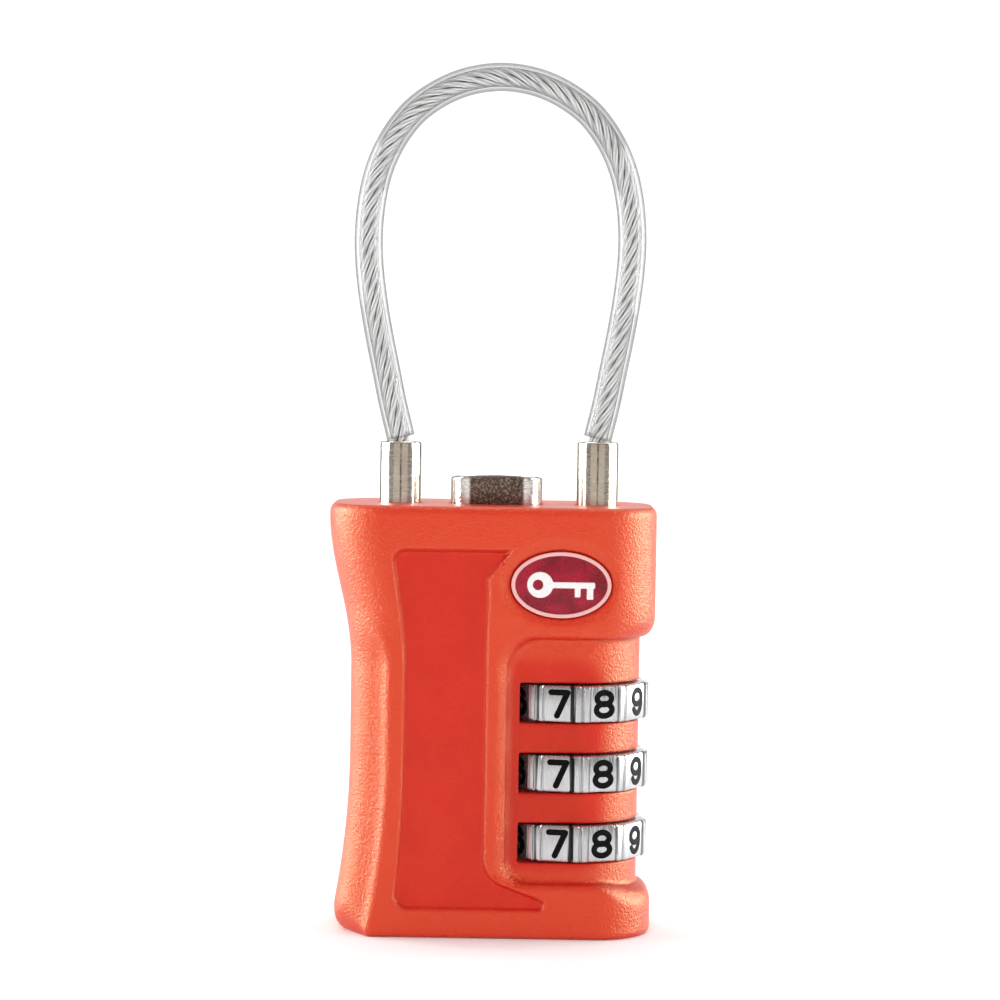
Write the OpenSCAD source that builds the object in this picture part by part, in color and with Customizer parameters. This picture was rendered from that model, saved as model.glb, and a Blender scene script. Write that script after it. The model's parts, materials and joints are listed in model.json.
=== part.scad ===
// Luggage combination padlock with a wire-rope shackle, as an assembly of separate pieces:
// a two-part casing, three number dials on clutch sleeves, a push button with its spindle,
// a latch for the free cable end, a code-change button and a service-key cylinder.
// Millimetres. The front faces -Y, the dials are on the +X side, +Z is up.
// The origin is the centre of the base.

/* [Casing] */
// Width of the casing across its top
body_w = 30.2; // [30:0.1:30.6]
// Depth of the casing, front to back
body_d = 14.8; // [14.8:0.1:15.4]
// Height of the casing
body_h = 40; // [40:0.1:41]
// Distance from the middle to the left side at its narrowest
waist = 12.8; // [12.7:0.05:13.2]
// How far the left side flares out at the top
top_flare = 2.2; // [2.1:0.05:2.3]
// How far the left side flares out at the foot
foot_flare = 1.25; // [1:0.05:1.4]
// Depth of the flat sunk panel on the front and back
panel_depth = 0.4; // [0.3:0.05:0.5]

/* [Dials] */
// Outer radius of a number dial, over its ribs
dial_r = 7.15; // [7:0.05:7.2]
// Thickness of a number dial
dial_h = 3.4; // [3.3:0.05:3.5]
// Distance from one dial to the next
dial_pitch = 6.5; // [6.5:0.05:6.6]
// Height of the lowest dial's middle above the base
dial_base = 8.85; // [8.8:0.05:9]
// Angle of the digit 8 on each dial, turned from the front towards the side
digit_turn = 24; // [20:1:30]

/* [Shackle] */
// Diameter of the clear sheath over the wire rope
sheath_d = 2.65; // [2.4:0.05:2.8]
// Diameter of the wire rope
rope_d = 1.6; // [1.4:0.05:1.7]
// Diameter of the metal ferrules on the cable's ends
ferrule_d = 3.9; // [3.8:0.05:4]
// Distance from ferrule to ferrule, centre to centre
ferrule_span = 18.5; // [18.3:0.1:18.6]
// How far the captive ferrule stands out of the casing
ferrule_out = 5.75; // [5.5:0.05:6]
// How much further the free ferrule stands out
free_extra = 0.2; // [0:0.05:0.3]

/* [Push button] */
// Width of the push button
button_w = 8.6; // [8.4:0.1:8.7]
// Depth of the push button, front to back
button_d = 5; // [4.8:0.1:5]
// How far the push button stands out of the casing
button_out = 2.85; // [2.6:0.05:3]
// How far the push button travels down
button_travel = 1.8; // [1.6:0.05:1.8]

/* [Hidden] */
$fn = 64;

// General clearances
gap = 0.1;            // running clearance of a sliding piece
slip = 0.05;          // close running clearance, and between stacked faces
through = 1;          // how far a cut runs past a face

// Casing
right_x = body_w / 2;
crown_r = 1;          // upper corners, seen from the front
foot_r = 3;           // lower left corner, seen from the front
heel_r = 1.2;         // lower right corner, seen from the front
plan_r = 5.2;         // upright edges, seen from above
scoop_w = 3.3;        // grip scoop along the left side
scoop_depth = 1.2;
scoop_top = 27.5;
shell_pin_r = 0.8;
shell_pin_len = 8;
shell_pin_spots = [[-12.9, 36.6], [13.2, 36.6], [-11.2, 20.5], [-12, 3], [12.6, 2.9]];

// Dial stack, numbered from the top
dial_x = 7.8;
barrel_r = 6.2;       // casing wall between the dials, about the dial axis
recess_left = 1.9;
recess_low = 4.9;
recess_high = 27.9;
recess_corner = 3.2;
window_left = 2.75;
slot_h = dial_h + 0.3;
dial_pocket_r = dial_r + 0.25;
flat_r = dial_r - 0.33;        // centre of a number face to the axis
face_half = 12;                // half the angle of a number face
digits = 10;
digit_step = 360 / digits;
function dial_z(n) = dial_base + (3 - n) * dial_pitch;

// Clutch sleeves: each turns with its dial through ten teeth, and slides up to change the code
neck_r = 3.1;
neck_bore_r = neck_r + gap;
tooth_r = 4.1;
tooth_w = 0.9;
tooth_low = -1.6;              // below the dial's middle
tooth_h = 1.3;
spline_bore_r = 3.5;
spline_r = 4.3;
sleeve_low = -1.8;
gate_top = 1.3;
gate_w = 1.3;
gate_r = 2.6;
reset_travel = 1.7;

// Spindle and its lugs
spindle_r = 1.6;
spindle_low = 6.3;
spindle_neck_r = 1.2;
lug_r = 2.45;
lug_w = 1.1;
lug_low = 3.25;                // above the dial's middle
lug_h = 1.2;

// Levels under the top of the casing
top_mid = 0.3;                 // the button's middle, and the middle of the loop's crown
button_left = top_mid - button_w / 2;
button_right = top_mid + button_w / 2;
button_r = 1.9;                // upright edges, seen from above
button_top = body_h + button_out;
plate_top = body_h - 7.7;
plate_h = 1;
plate_low = plate_top - plate_h;
lid_low = body_h - 2.9;        // underside of the casing's top wall
lobe_left = top_mid - 3.3;
lobe_w = 4.5;
lobe_out = 0.9;                // how far a retaining lobe stands out of the button
lobe_h = 1.4;
spring_seat = 28.3;            // underside of the rib above the clutch spring
rib_top = spring_seat + 1;

// Latch
latch_low = body_h - 5.4;
latch_h = 1.2;
latch_half = 1.3;
latch_tail = 4.65;
ear_left = 5;
ear_w = 1.2;
ear_out = 5.1;
latch_travel = 2;
latch_spring_y = 4.4;

// Ferrules
ferrule_r = ferrule_d / 2;
foot_mid = 0.5;                // halfway between the two ferrules
captive_x = foot_mid - ferrule_span / 2;
free_x = foot_mid + ferrule_span / 2;
ferrule_low = body_h - 7;
ferrule_bore_r = ferrule_r + gap;
groove_r = 1.4;
groove_low = body_h - 5.7;
groove_high = body_h - 3.9;
clip_low = body_h - 5.6;
clip_h = 0.6;
clip_r = 3;

// Service-key cylinder
key_x = -6.2;
housing_r = 4;
housing_low = 0.3;
housing_high = 11.5;
plug_r = 2.85;
plug_neck_r = 2.2;
clip_top = housing_high + 0.5;
cam_base = 0.8;
cam_r = 2.6;
cam_inner_r = 1.6;
cam_rise = 1.5;
wafer_h = 0.5;
wafer_levels = [3.4, 5.2, 7, 8.8];
slide_y = 3.5;                 // the bypass slide lies behind the rest
slide_t = 0.8;
slide_w = 2.2;
slide_top = body_h - 7.3;

// Code-change button, under the dial stack
reset_r = 1.9;
reset_flange_r = 3;
reset_flange_low = 2.4;
reset_flange_h = 1;
reset_tube_r = 2.6;
reset_tube_top = 6.95;

// Badge on the front
badge_x = 6.4;
badge_z = body_h - 7.1;
badge_w = 9.4;
badge_h = 6.3;

// Wire rope: half of its route, as [distance from the middle, height over the casing], from
// inside the ferrule up to the crown of the loop
rope_half = [
    [9.25, 2.6], [9.25, 5.75], [9.45, 6.9], [9.8, 8.3], [10.2, 10.1], [10.65, 12.4],
    [11.1, 14.6], [11.55, 17], [11.9, 19.2], [12.2, 21.6], [12.35, 24], [12.3, 26.2],
    [12.05, 28.5], [11.55, 30.8], [10.75, 32.9], [9.6, 34.9], [8.1, 36.7], [6.15, 38.15],
    [4.1, 39.15], [2.1, 39.7], [0, 39.9],
];
rope_spread = ferrule_span / 18.5;
rope_settle = 24;              // height at which the loop is even again about top_mid
rope_sides = 8;
sheath_gap = 0.3;              // bare rope between the ferrule and the sheath

// ---------- shared shapes ----------

function smooth(t) = let (c = max(0, min(1, t))) c * c * (3 - 2 * c);

// The casing's left side, seen from the front: narrow in the middle, wide at the top and foot
function left_x(z) =
    -(waist + top_flare * smooth((z - 25) / 14) + foot_flare * pow(max(0, (17 - z) / 14), 2));

function panel_left(z) = 0.6 * left_x(z) - 0.35;

function arc(cx, cy, r, from, to, n = 8) =
    [for (i = [0 : n]) let (a = from + (to - from) * i / n) [cx + r * cos(a), cy + r * sin(a)]];

function ellipse(w, h, n = 48) =
    [for (i = [0 : n - 1]) [w / 2 * cos(360 * i / n), h / 2 * sin(360 * i / n)]];

// Stands a 2D shape drawn in X and Z up, from y_from to y_to
module upright(y_from, y_to) {
    translate([0, y_to, 0]) rotate([90, 0, 0]) linear_extrude(y_to - y_from) children();
}

module box(low, high) {
    translate(low) cube(high - low);
}

module tube(r_out, r_in, h) {
    difference() {
        cylinder(r = r_out, h = h);
        translate([0, 0, -through]) cylinder(r = r_in, h = h + 2 * through);
    }
}

module rounded_plan(w, d, r) {
    square([w - 2 * r, d], center = true);
    square([w, d - 2 * r], center = true);
    for (x = [-1, 1], y = [-1, 1])
        translate([x * (w / 2 - r), y * (d / 2 - r)]) circle(r = r);
}

// One ring of a swept tube, square to the line's direction
function ring(p, direction, across, r, sides) =
    let (
        d = direction / norm(direction),
        u = cross(d, across) / norm(cross(d, across)),
        v = cross(u, d)
    )
    [for (k = [0 : sides - 1]) p + r * (u * cos(360 * k / sides) + v * sin(360 * k / sides))];

function direction_at(line, i) = line[min(i + 1, len(line) - 1)] - line[max(i - 1, 0)];

// A round rod along a line; across is a direction that the line never runs in
module rod(line, r, sides, across) {
    n = len(line);
    rings = [for (i = [0 : n - 1]) ring(line[i], direction_at(line, i), across, r, sides)];
    polyhedron(
        points = [for (one = rings) each one],
        faces = concat(
            [[for (k = [0 : sides - 1]) k]],
            [for (i = [0 : n - 2], k = [0 : sides - 1])
                let (a = i * sides + k, b = i * sides + (k + 1) % sides)
                each [[a, a + sides, b + sides], [a, b + sides, b]]],
            [[for (k = [sides - 1 : -1 : 0]) (n - 1) * sides + k]]
        )
    );
}

// A hollow tube along a line
module hollow_rod(line, r_out, r_in, sides, across) {
    n = len(line);
    outer = [for (i = [0 : n - 1]) ring(line[i], direction_at(line, i), across, r_out, sides)];
    inner = [for (i = [0 : n - 1]) ring(line[i], direction_at(line, i), across, r_in, sides)];
    hole = n * sides;
    last = (n - 1) * sides;
    polyhedron(
        points = concat([for (one = outer) each one], [for (one = inner) each one]),
        faces = concat(
            [for (i = [0 : n - 2], k = [0 : sides - 1])
                let (a = i * sides + k, b = i * sides + (k + 1) % sides)
                [a, a + sides, b + sides, b]],
            [for (i = [0 : n - 2], k = [0 : sides - 1])
                let (a = hole + i * sides + k, b = hole + i * sides + (k + 1) % sides)
                [a, b, b + sides, a + sides]],
            [for (k = [0 : sides - 1])
                let (b = (k + 1) % sides) [k, b, hole + b, hole + k]],
            [for (k = [0 : sides - 1])
                let (b = (k + 1) % sides) [last + k, hole + last + k, hole + last + b, last + b]]
        )
    );
}

// A compression spring standing on z = 0
module coil_spring(r, wire_r, h, turns, steps = 14, sides = 6) {
    n = turns * steps;
    line = [for (i = [0 : n])
        [r * cos(360 * i / steps), r * sin(360 * i / steps), wire_r + (h - 2 * wire_r) * i / n]];
    rod(line, wire_r, sides, [0, 0, 1]);
}

// ---------- casing ----------

function casing_outline() = concat(
    arc(right_x - heel_r, heel_r, heel_r, -90, 0),
    arc(right_x - crown_r, body_h - crown_r, crown_r, 0, 90),
    arc(left_x(body_h) + crown_r, body_h - crown_r, crown_r, 90, 180),
    [for (z = [body_h - 3 : -2 : 4]) [left_x(z), z]],
    arc(left_x(foot_r) + foot_r, foot_r, foot_r, 180, 270)
);

function recess_outline() = concat(
    [[right_x + through, recess_low], [right_x + through, recess_high]],
    arc(recess_left + recess_corner, recess_high - recess_corner, recess_corner, 90, 180),
    arc(recess_left + recess_corner, recess_low + recess_corner, recess_corner, 180, 270)
);

function scoop_outline() = concat(
    [for (z = [-through : 2 : scoop_top]) [left_x(z) + scoop_w, z]],
    [[left_x(scoop_top) - through, scoop_top + 2.5], [left_x(0) - 2 * through, -through]]
);

function panel_outline() = concat(
    [[1.8, 36]],
    arc(panel_left(35) + 1.2, 34.8, 1.2, 90, 180),
    [for (z = [33 : -3 : 6]) [panel_left(z), z]],
    arc(panel_left(4) + 1.3, 3.9, 1.3, 180, 270),
    arc(4.7, 3.2, 0.6, -90, 70),
    arc(2.2, 7.4, 2.45, 255, 180),
    [[-0.25, 33.4]]
);

// The casing's outer shape, front and back together
module casing_solid() {
    difference() {
        intersection() {
            upright(-body_d / 2, body_d / 2) polygon(casing_outline());
            linear_extrude(body_h) rounded_plan(body_w, body_d, plan_r);
        }
        difference() {
            upright(-body_d, body_d) polygon(recess_outline());
            translate([dial_x, 0, 0]) cylinder(r = barrel_r, h = body_h);
            box([0, -barrel_r, 0], [dial_x, barrel_r, body_h]);
        }
        for (side = [-1, 1])
            translate([0, side * (body_d - scoop_depth), 0])
                upright(-body_d / 2, body_d / 2) polygon(scoop_outline());
    }
}

// Room for the dials, their sleeves, the clutch spring and the code-change button
module dial_room() {
    for (n = [1 : 3]) translate([0, 0, dial_z(n) - slot_h / 2]) {
        translate([dial_x, 0, 0]) cylinder(r = dial_pocket_r, h = slot_h);
        box([window_left, -body_d, 0], [dial_x, body_d, slot_h]);
    }
    translate([dial_x, 0, 0]) {
        translate([0, 0, dial_z(3)]) cylinder(r = neck_bore_r, h = spring_seat - dial_z(3));
        translate([0, 0, spring_seat - through]) cylinder(r = spindle_r + gap, h = 3);
        translate([0, 0, -through]) cylinder(r = reset_r + gap, h = 5);
        translate([0, 0, reset_flange_low - slip])
            cylinder(r = reset_flange_r + gap, h = reset_flange_h + reset_travel + 2 * gap);
        translate([0, 0, 4]) cylinder(r = reset_tube_r + gap, h = 4);
    }
    box([-0.6, -1.8, 6], [1.2, 1.4, 25]);
}

// Room for the push button, the plate under it, the latch and their springs
module upper_room() {
    box([button_left - gap, -2.8, rib_top], [free_x + gap, 2.8, plate_top + gap]);
    box([button_left - 2 * gap, -2.7, plate_top], [button_right + 2 * gap, 2.7, lid_low]);
    box([lobe_left - gap, -3.5, plate_top + gap], [lobe_left + lobe_w + gap, 3.5, lid_low]);
    translate([top_mid, 0, lid_low - through])
        linear_extrude(body_h) rounded_plan(button_w + 2 * gap, button_d + 2 * gap, button_r + gap);
    translate([-2.4, 0, 26.5]) cylinder(r = 2.1, h = 5);
    box([button_right, -latch_half - gap, latch_low - gap],
        [free_x - 1, latch_half + gap, latch_low + latch_h + gap]);
    box([ear_left - latch_travel - gap, 0, latch_low - 2 * gap],
        [ear_left + ear_w + gap, ear_out + gap, latch_low + latch_h + gap]);
    translate([0.9, latch_spring_y, latch_low + latch_h / 2])
        rotate([0, 90, 0]) cylinder(r = 0.95, h = 5);
}

module ferrule_room() {
    for (x = [captive_x, free_x])
        translate([x, 0, ferrule_low]) cylinder(r = ferrule_bore_r, h = body_h);
    translate([captive_x, 0, clip_low - gap]) cylinder(r = clip_r + gap, h = clip_h + 2 * gap);
}

module key_room() {
    translate([key_x, 0, -through]) cylinder(r = housing_r + slip, h = 17.2 + through);
    box([key_x - slide_w / 2 - gap, 1.5, 12], [key_x + slide_w / 2 + gap, 4.5, slide_top + 1.7]);
    box([key_x, slide_y - gap, slide_top - 1.2], [ear_left + ear_w + gap, 4.4, slide_top + 1.7]);
}

module shell_pin_holes() {
    for (spot = shell_pin_spots)
        translate([spot.x, 0, spot.y]) rotate([90, 0, 0])
            cylinder(r = shell_pin_r, h = shell_pin_len, center = true);
}

module shell(y_from, y_to) {
    difference() {
        intersection() {
            casing_solid();
            box([-body_w, y_from, -through], [body_w, y_to, body_h + through]);
        }
        dial_room();
        upper_room();
        ferrule_room();
        key_room();
        shell_pin_holes();
        children();
    }
}

module front_shell() {
    color("orangered") shell(-body_d, 0) {
        upright(-body_d, panel_depth - body_d / 2) polygon(panel_outline());
        translate([badge_x, 0, badge_z])
            upright(-body_d, 0.6 - body_d / 2) polygon(ellipse(badge_w, badge_h));
    }
}

module rear_shell() {
    color("orangered") shell(0, body_d)
        upright(body_d / 2 - panel_depth, body_d) polygon(panel_outline());
}

module shell_pins() {
    color("silver") shell_pin_holes();
}

module badge_plate() {
    color("crimson") translate([badge_x, 0, badge_z])
        upright(0.2 - body_d / 2, 0.6 - body_d / 2)
            polygon(ellipse(badge_w - 2 * gap, badge_h - 2 * gap));
}

// A plain key symbol, which marks the service-key lock
module badge_key_mark() {
    color("white") translate([badge_x, 0, badge_z]) upright(0.1 - body_d / 2, 0.2 - body_d / 2) {
        difference() {
            translate([-1.9, 0]) circle(r = 1.15);
            translate([-2.1, 0]) circle(r = 0.45);
        }
        translate([-0.9, -0.28]) square([3.9, 0.56]);
        translate([1.2, -1.1]) square([0.5, 1]);
        translate([2.3, -1.3]) square([0.6, 1.2]);
    }
}

// ---------- shackle ----------

// A ferrule from its bottom up: tip, groove and shank, with the hole for the rope
module ferrule(groove_from, groove_to, out) {
    flank = ferrule_r - groove_r;
    top = body_h + out;
    difference() {
        rotate_extrude() polygon([
            [0, ferrule_low], [ferrule_r - 0.3, ferrule_low], [ferrule_r, ferrule_low + 0.3],
            [ferrule_r, groove_from - flank], [groove_r, groove_from], [groove_r, groove_to],
            [ferrule_r, groove_to], [ferrule_r, top - 0.25],
            [ferrule_r - 0.25, top], [0, top],
        ]);
        translate([0, 0, body_h + rope_half[0].y]) cylinder(r = rope_d / 2, h = body_h);
    }
}

module captive_ferrule() {
    color("silver") translate([captive_x, 0, 0]) ferrule(clip_low, clip_low + clip_h, ferrule_out);
}

module free_ferrule() {
    color("silver") translate([free_x, 0, 0]) ferrule(groove_low, groove_high, ferrule_out + free_extra);
}

// Snap ring that keeps the captive ferrule in the casing and lets it swivel
module ferrule_clip() {
    color("dimgray") translate([captive_x, 0, clip_low + slip]) difference() {
        tube(clip_r, groove_r + slip, clip_h - 2 * slip);
        box([-0.9, 0, -through], [0.9, 2 * clip_r, through + clip_h]);
    }
}

function rope_point(side, p) =
    let (foot = 1 - smooth(p.y / rope_settle), middle = top_mid + (foot_mid - top_mid) * foot)
    [middle + side * p.x * rope_spread, 0, body_h + p.y + (side > 0 ? free_extra * foot : 0)];

// The whole route from the captive ferrule over the crown to the free one
function rope_line(first) = concat(
    [for (i = [first : len(rope_half) - 1]) rope_point(-1, rope_half[i])],
    [for (i = [len(rope_half) - 2 : -1 : first]) rope_point(1, rope_half[i])]
);

function sheath_line() =
    let (end = [rope_half[1].x, ferrule_out + sheath_gap])
    concat([rope_point(-1, end)], rope_line(2), [rope_point(1, end)]);

module wire_rope() {
    color("lightgray") rod(rope_line(0), rope_d / 2, rope_sides, [0, 1, 0]);
}

module rope_sheath() {
    color("white", 0.5)
        hollow_rod(sheath_line(), sheath_d / 2, rope_d / 2 + slip, rope_sides, [0, 1, 0]);
}

// ---------- push button, plate and spindle ----------

module push_button() {
    color("silver") difference() {
        union() {
            translate([top_mid, 0, plate_top])
                linear_extrude(button_top - plate_top) rounded_plan(button_w, button_d, button_r);
            box([lobe_left, -button_d / 2 - lobe_out, lid_low - slip - lobe_h],
                [lobe_left + lobe_w, button_d / 2 + lobe_out, lid_low - slip]);
            translate([top_mid, 0, plate_low]) cylinder(r = 0.9, h = 2);
        }
        box([button_right - latch_travel - 2 * gap, -latch_half - 2 * gap, latch_low - gap],
            [button_right + through, button_d / 2 + through,
             latch_low + latch_h + button_travel + gap]);
    }
}

// Carries the button's push over to the spindle
module release_plate() {
    color("gray") difference() {
        box([button_left + gap, -2.2, plate_low], [free_x - gap, 2.2, plate_top]);
        translate([dial_x, 0, plate_low - through]) cylinder(r = spindle_neck_r, h = 3);
        translate([top_mid, 0, plate_low - through]) cylinder(r = 0.9, h = 3);
    }
}

// One lug for each sleeve; a lug can only pass down where its sleeve's gate faces it
module spindle() {
    color("silver") translate([dial_x, 0, 0]) {
        translate([0, 0, spindle_low]) cylinder(r = spindle_r, h = plate_low - spindle_low);
        translate([0, 0, plate_low]) cylinder(r = spindle_neck_r, h = plate_h);
        for (n = [1 : 3]) translate([0, 0, dial_z(n) + lug_low]) intersection() {
            cylinder(r = lug_r, h = lug_h);
            box([0, -lug_w / 2, 0], [lug_r, lug_w / 2, lug_h]);
        }
    }
}

module button_spring() {
    color("silver") translate([-2.4, 0, 26.5])
        coil_spring(1.6, 0.22, plate_low - 26.5, 4);
}

// The tip is bevelled below, so a ferrule pushed in moves the latch aside
module latch_bolt() {
    tip = free_x - groove_r - 0.03;
    color("gray") {
        upright(-latch_half, latch_half) polygon([
            [latch_tail, latch_low], [tip - latch_h, latch_low],
            [tip, latch_low + latch_h], [latch_tail, latch_low + latch_h],
        ]);
        box([ear_left, 0, latch_low], [ear_left + ear_w, ear_out, latch_low + latch_h]);
    }
}

module latch_spring() {
    color("silver") translate([1, latch_spring_y, latch_low + latch_h / 2])
        rotate([0, 90, 0]) coil_spring(0.6, 0.13, ear_left - 1, 6, 10, 5);
}

// ---------- number dials and clutch ----------

// Ten number faces with a low rib between each two
function dial_outline() = [
    for (k = [0 : digits - 1])
        let (a = digit_turn - 90 + k * digit_step, corner = flat_r / cos(face_half))
        for (p = [[corner, -face_half], [corner, face_half], [dial_r - 0.04, face_half + 2],
                  [dial_r, digit_step / 2], [dial_r - 0.04, digit_step - face_half - 2]])
            [p.x * cos(a + p.y), p.x * sin(a + p.y)]
];

module teeth(r, w, h) {
    for (k = [0 : digits - 1]) rotate(k * digit_step) box([0, -w / 2, 0], [r, w / 2, h]);
}

module dial(n) {
    color("gainsboro") translate([dial_x, 0, dial_z(n) - dial_h / 2]) difference() {
        linear_extrude(dial_h) polygon(dial_outline());
        translate([0, 0, -through]) cylinder(r = spline_bore_r, h = dial_h + 2 * through);
        translate([0, 0, dial_h / 2]) cylinder(r = spline_r, h = dial_h);
        intersection() {
            translate([0, 0, -through]) cylinder(r = spline_r, h = dial_h);
            translate([0, 0, -through]) teeth(2 * spline_r, tooth_w + 2 * gap, dial_h);
        }
    }
}

// The lower two sleeves are as long as the pitch, so that they carry the push up the stack
module clutch_sleeve(n) {
    high = n == 1 ? 3 : dial_pitch + sleeve_low - slip;
    color("burlywood") translate([dial_x, 0, dial_z(n)]) difference() {
        union() {
            translate([0, 0, sleeve_low]) cylinder(r = neck_r, h = high - sleeve_low);
            translate([0, 0, tooth_low]) intersection() {
                cylinder(r = tooth_r, h = tooth_h);
                teeth(2 * tooth_r, tooth_w, tooth_h);
            }
        }
        translate([0, 0, sleeve_low - through])
            cylinder(r = spindle_r + gap, h = high - sleeve_low + 2 * through);
        translate([0, 0, gate_top]) cylinder(r = gate_r, h = dial_pitch);
        intersection() {
            translate([0, 0, sleeve_low - through]) cylinder(r = gate_r, h = dial_pitch);
            box([0, -gate_w / 2, sleeve_low - through], [neck_r, gate_w / 2, gate_top + through]);
        }
    }
}

module clutch_spring() {
    low = dial_z(1) + 3;
    color("silver") translate([dial_x, 0, low])
        coil_spring(2.8, 0.2, spring_seat - low, 3, 16);
}

// Leaf spring with a bump for each dial, which drops between two ribs
module detent_spring() {
    bump_x = dial_x - flat_r - gap;
    color("silver") upright(-1.3, -0.3) polygon(concat(
        [[-0.3, 6.2], [-0.05, 6.2]],
        [for (n = [3 : -1 : 1], p = [[-0.05, -1.5], [bump_x, -0.3], [bump_x, 0.3], [-0.05, 1.5]])
            [p.x, dial_z(n) + p.y]],
        [[-0.05, 24.8], [-0.3, 24.8]]
    ));
}

module reset_button() {
    color("silver") translate([dial_x, 0, 0]) difference() {
        union() {
            translate([0, 0, 0.25]) cylinder(r = reset_r, h = 4);
            translate([0, 0, reset_flange_low]) cylinder(r = reset_flange_r, h = reset_flange_h);
            translate([0, 0, reset_flange_low])
                cylinder(r = reset_tube_r, h = reset_tube_top - reset_flange_low);
        }
        translate([0, 0, 2.6]) cylinder(r = spindle_r + gap, h = 6);
        box([-1.2, -0.25, -through], [1.2, 0.25, 0.6]);
    }
}

// ---------- service-key cylinder ----------

module plug_housing() {
    color("gray") translate([key_x, 0, housing_low]) difference() {
        tube(housing_r, plug_r + slip, housing_high - housing_low);
        box([-1.2, 2, 2.2], [1.2, 3.5, 9.6]);
    }
}

module wafer_slot(z, w, y_from, y_to, h) {
    translate([0, 0, z - h / 2]) box([-w / 2, y_from, 0], [w / 2, y_to, h]);
}

module key_plug() {
    color("goldenrod") translate([key_x, 0, 0]) difference() {
        union() {
            translate([0, 0, housing_low]) cylinder(r = plug_r, h = housing_high - housing_low);
            translate([0, 0, housing_high]) cylinder(r = plug_neck_r, h = clip_top - housing_high);
        }
        box([-0.5, -2, -through], [0.5, 2, 10.3]);
        for (z = wafer_levels) {
            wafer_slot(z, 2.1, -2.6, 3, wafer_h + gap);
            translate([1.65, 0, z]) rotate([90, 0, 0]) cylinder(r = 0.45, h = 2.4, center = true);
        }
    }
}

module key_wafers() {
    color("goldenrod") translate([key_x, 0, 0]) for (z = wafer_levels) difference() {
        wafer_slot(z, 2, -2.55, 2.7, wafer_h);
        wafer_slot(z, 1.1, -1.6, 1.9, 2 * wafer_h);
    }
}

module wafer_springs() {
    color("silver") translate([key_x, 0, 0]) for (z = wafer_levels)
        translate([1.65, 1.15, z]) rotate([90, 0, 0]) coil_spring(0.3, 0.07, 2.3, 4, 8, 4);
}

module plug_clip() {
    color("dimgray") translate([key_x, 0, housing_high + slip]) difference() {
        tube(3.6, plug_neck_r + slip, clip_top - housing_high - 2 * slip);
        box([0, -1.2, -through], [4, 1.2, through]);
    }
}

// A ramp that lifts the bypass slide as the key turns a quarter
module key_cam() {
    ramp_half = (cam_r + cam_inner_r) / 2 * sin(45);
    color("gray") translate([key_x, 0, clip_top]) {
        cylinder(r = cam_r, h = cam_base);
        translate([0, 0, cam_base]) intersection() {
            translate([0, 0, -slip]) tube(cam_r, cam_inner_r, cam_rise + 2 * slip);
            rotate(-45) upright(-cam_r - through, cam_r + through) polygon([
                [-ramp_half, -slip], [cam_r + through, -slip], [cam_r + through, cam_rise],
                [ramp_half, cam_rise], [-ramp_half, 0],
            ]);
        }
    }
}

// Rises with the cam, up to the latch's ear
module bypass_slide() {
    foot_low = clip_top + cam_base + 0.5;
    color("silver") {
        box([key_x - slide_w / 2, slide_y, foot_low], [key_x + slide_w / 2, slide_y + slide_t, slide_top]);
        box([key_x - 0.5, 1.65, foot_low], [key_x + 0.5, slide_y + slide_t, foot_low + 1.2]);
        box([key_x - slide_w / 2, slide_y, slide_top - 1],
            [ear_left + ear_w, slide_y + slide_t, slide_top]);
    }
}

front_shell();
rear_shell();
shell_pins();
badge_plate();
badge_key_mark();
captive_ferrule();
ferrule_clip();
free_ferrule();
wire_rope();
rope_sheath();
push_button();
release_plate();
spindle();
button_spring();
latch_bolt();
latch_spring();
dial(1);  // dial_1
dial(2);  // dial_2
dial(3);  // dial_3
clutch_sleeve(1);  // clutch_sleeve_1
clutch_sleeve(2);  // clutch_sleeve_2
clutch_sleeve(3);  // clutch_sleeve_3
clutch_spring();
detent_spring();
reset_button();
plug_housing();
key_plug();
key_wafers();
wafer_springs();
plug_clip();
key_cam();
bypass_slide();
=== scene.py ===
"""The looks of a luggage combination padlock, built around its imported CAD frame.

Lengths are written in millimetres, as in the CAD, and become metres where a mesh is made.
The front faces -Y, the dials are on the +X side and the origin is the centre of the base.
"""

import json
import math

import bpy
import numpy as np
from mathutils import Matrix, Vector


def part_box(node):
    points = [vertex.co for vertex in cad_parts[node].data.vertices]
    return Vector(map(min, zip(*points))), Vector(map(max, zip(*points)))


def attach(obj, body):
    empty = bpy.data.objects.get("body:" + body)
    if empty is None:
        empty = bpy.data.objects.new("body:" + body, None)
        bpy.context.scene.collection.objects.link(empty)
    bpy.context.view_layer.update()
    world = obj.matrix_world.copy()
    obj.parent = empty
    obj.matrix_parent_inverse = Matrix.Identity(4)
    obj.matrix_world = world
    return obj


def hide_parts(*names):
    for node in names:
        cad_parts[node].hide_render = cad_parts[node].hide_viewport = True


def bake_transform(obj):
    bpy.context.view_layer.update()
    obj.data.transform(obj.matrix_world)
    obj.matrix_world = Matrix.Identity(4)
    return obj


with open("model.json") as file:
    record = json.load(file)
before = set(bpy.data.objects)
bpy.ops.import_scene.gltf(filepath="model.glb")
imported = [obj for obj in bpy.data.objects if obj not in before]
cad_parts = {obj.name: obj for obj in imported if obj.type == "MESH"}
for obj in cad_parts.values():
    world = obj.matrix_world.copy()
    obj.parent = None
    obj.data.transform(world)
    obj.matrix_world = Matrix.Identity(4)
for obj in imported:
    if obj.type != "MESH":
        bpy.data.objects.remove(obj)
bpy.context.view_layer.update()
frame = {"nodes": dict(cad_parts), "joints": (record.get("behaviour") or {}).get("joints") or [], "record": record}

MM = 0.001


def box_mm(node):
    """A CAD node's lowest and highest corner, in millimetres."""
    low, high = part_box(node)
    return np.array(low) / MM, np.array(high) / MM


# ---------- sizes, from the frame ----------

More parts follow.
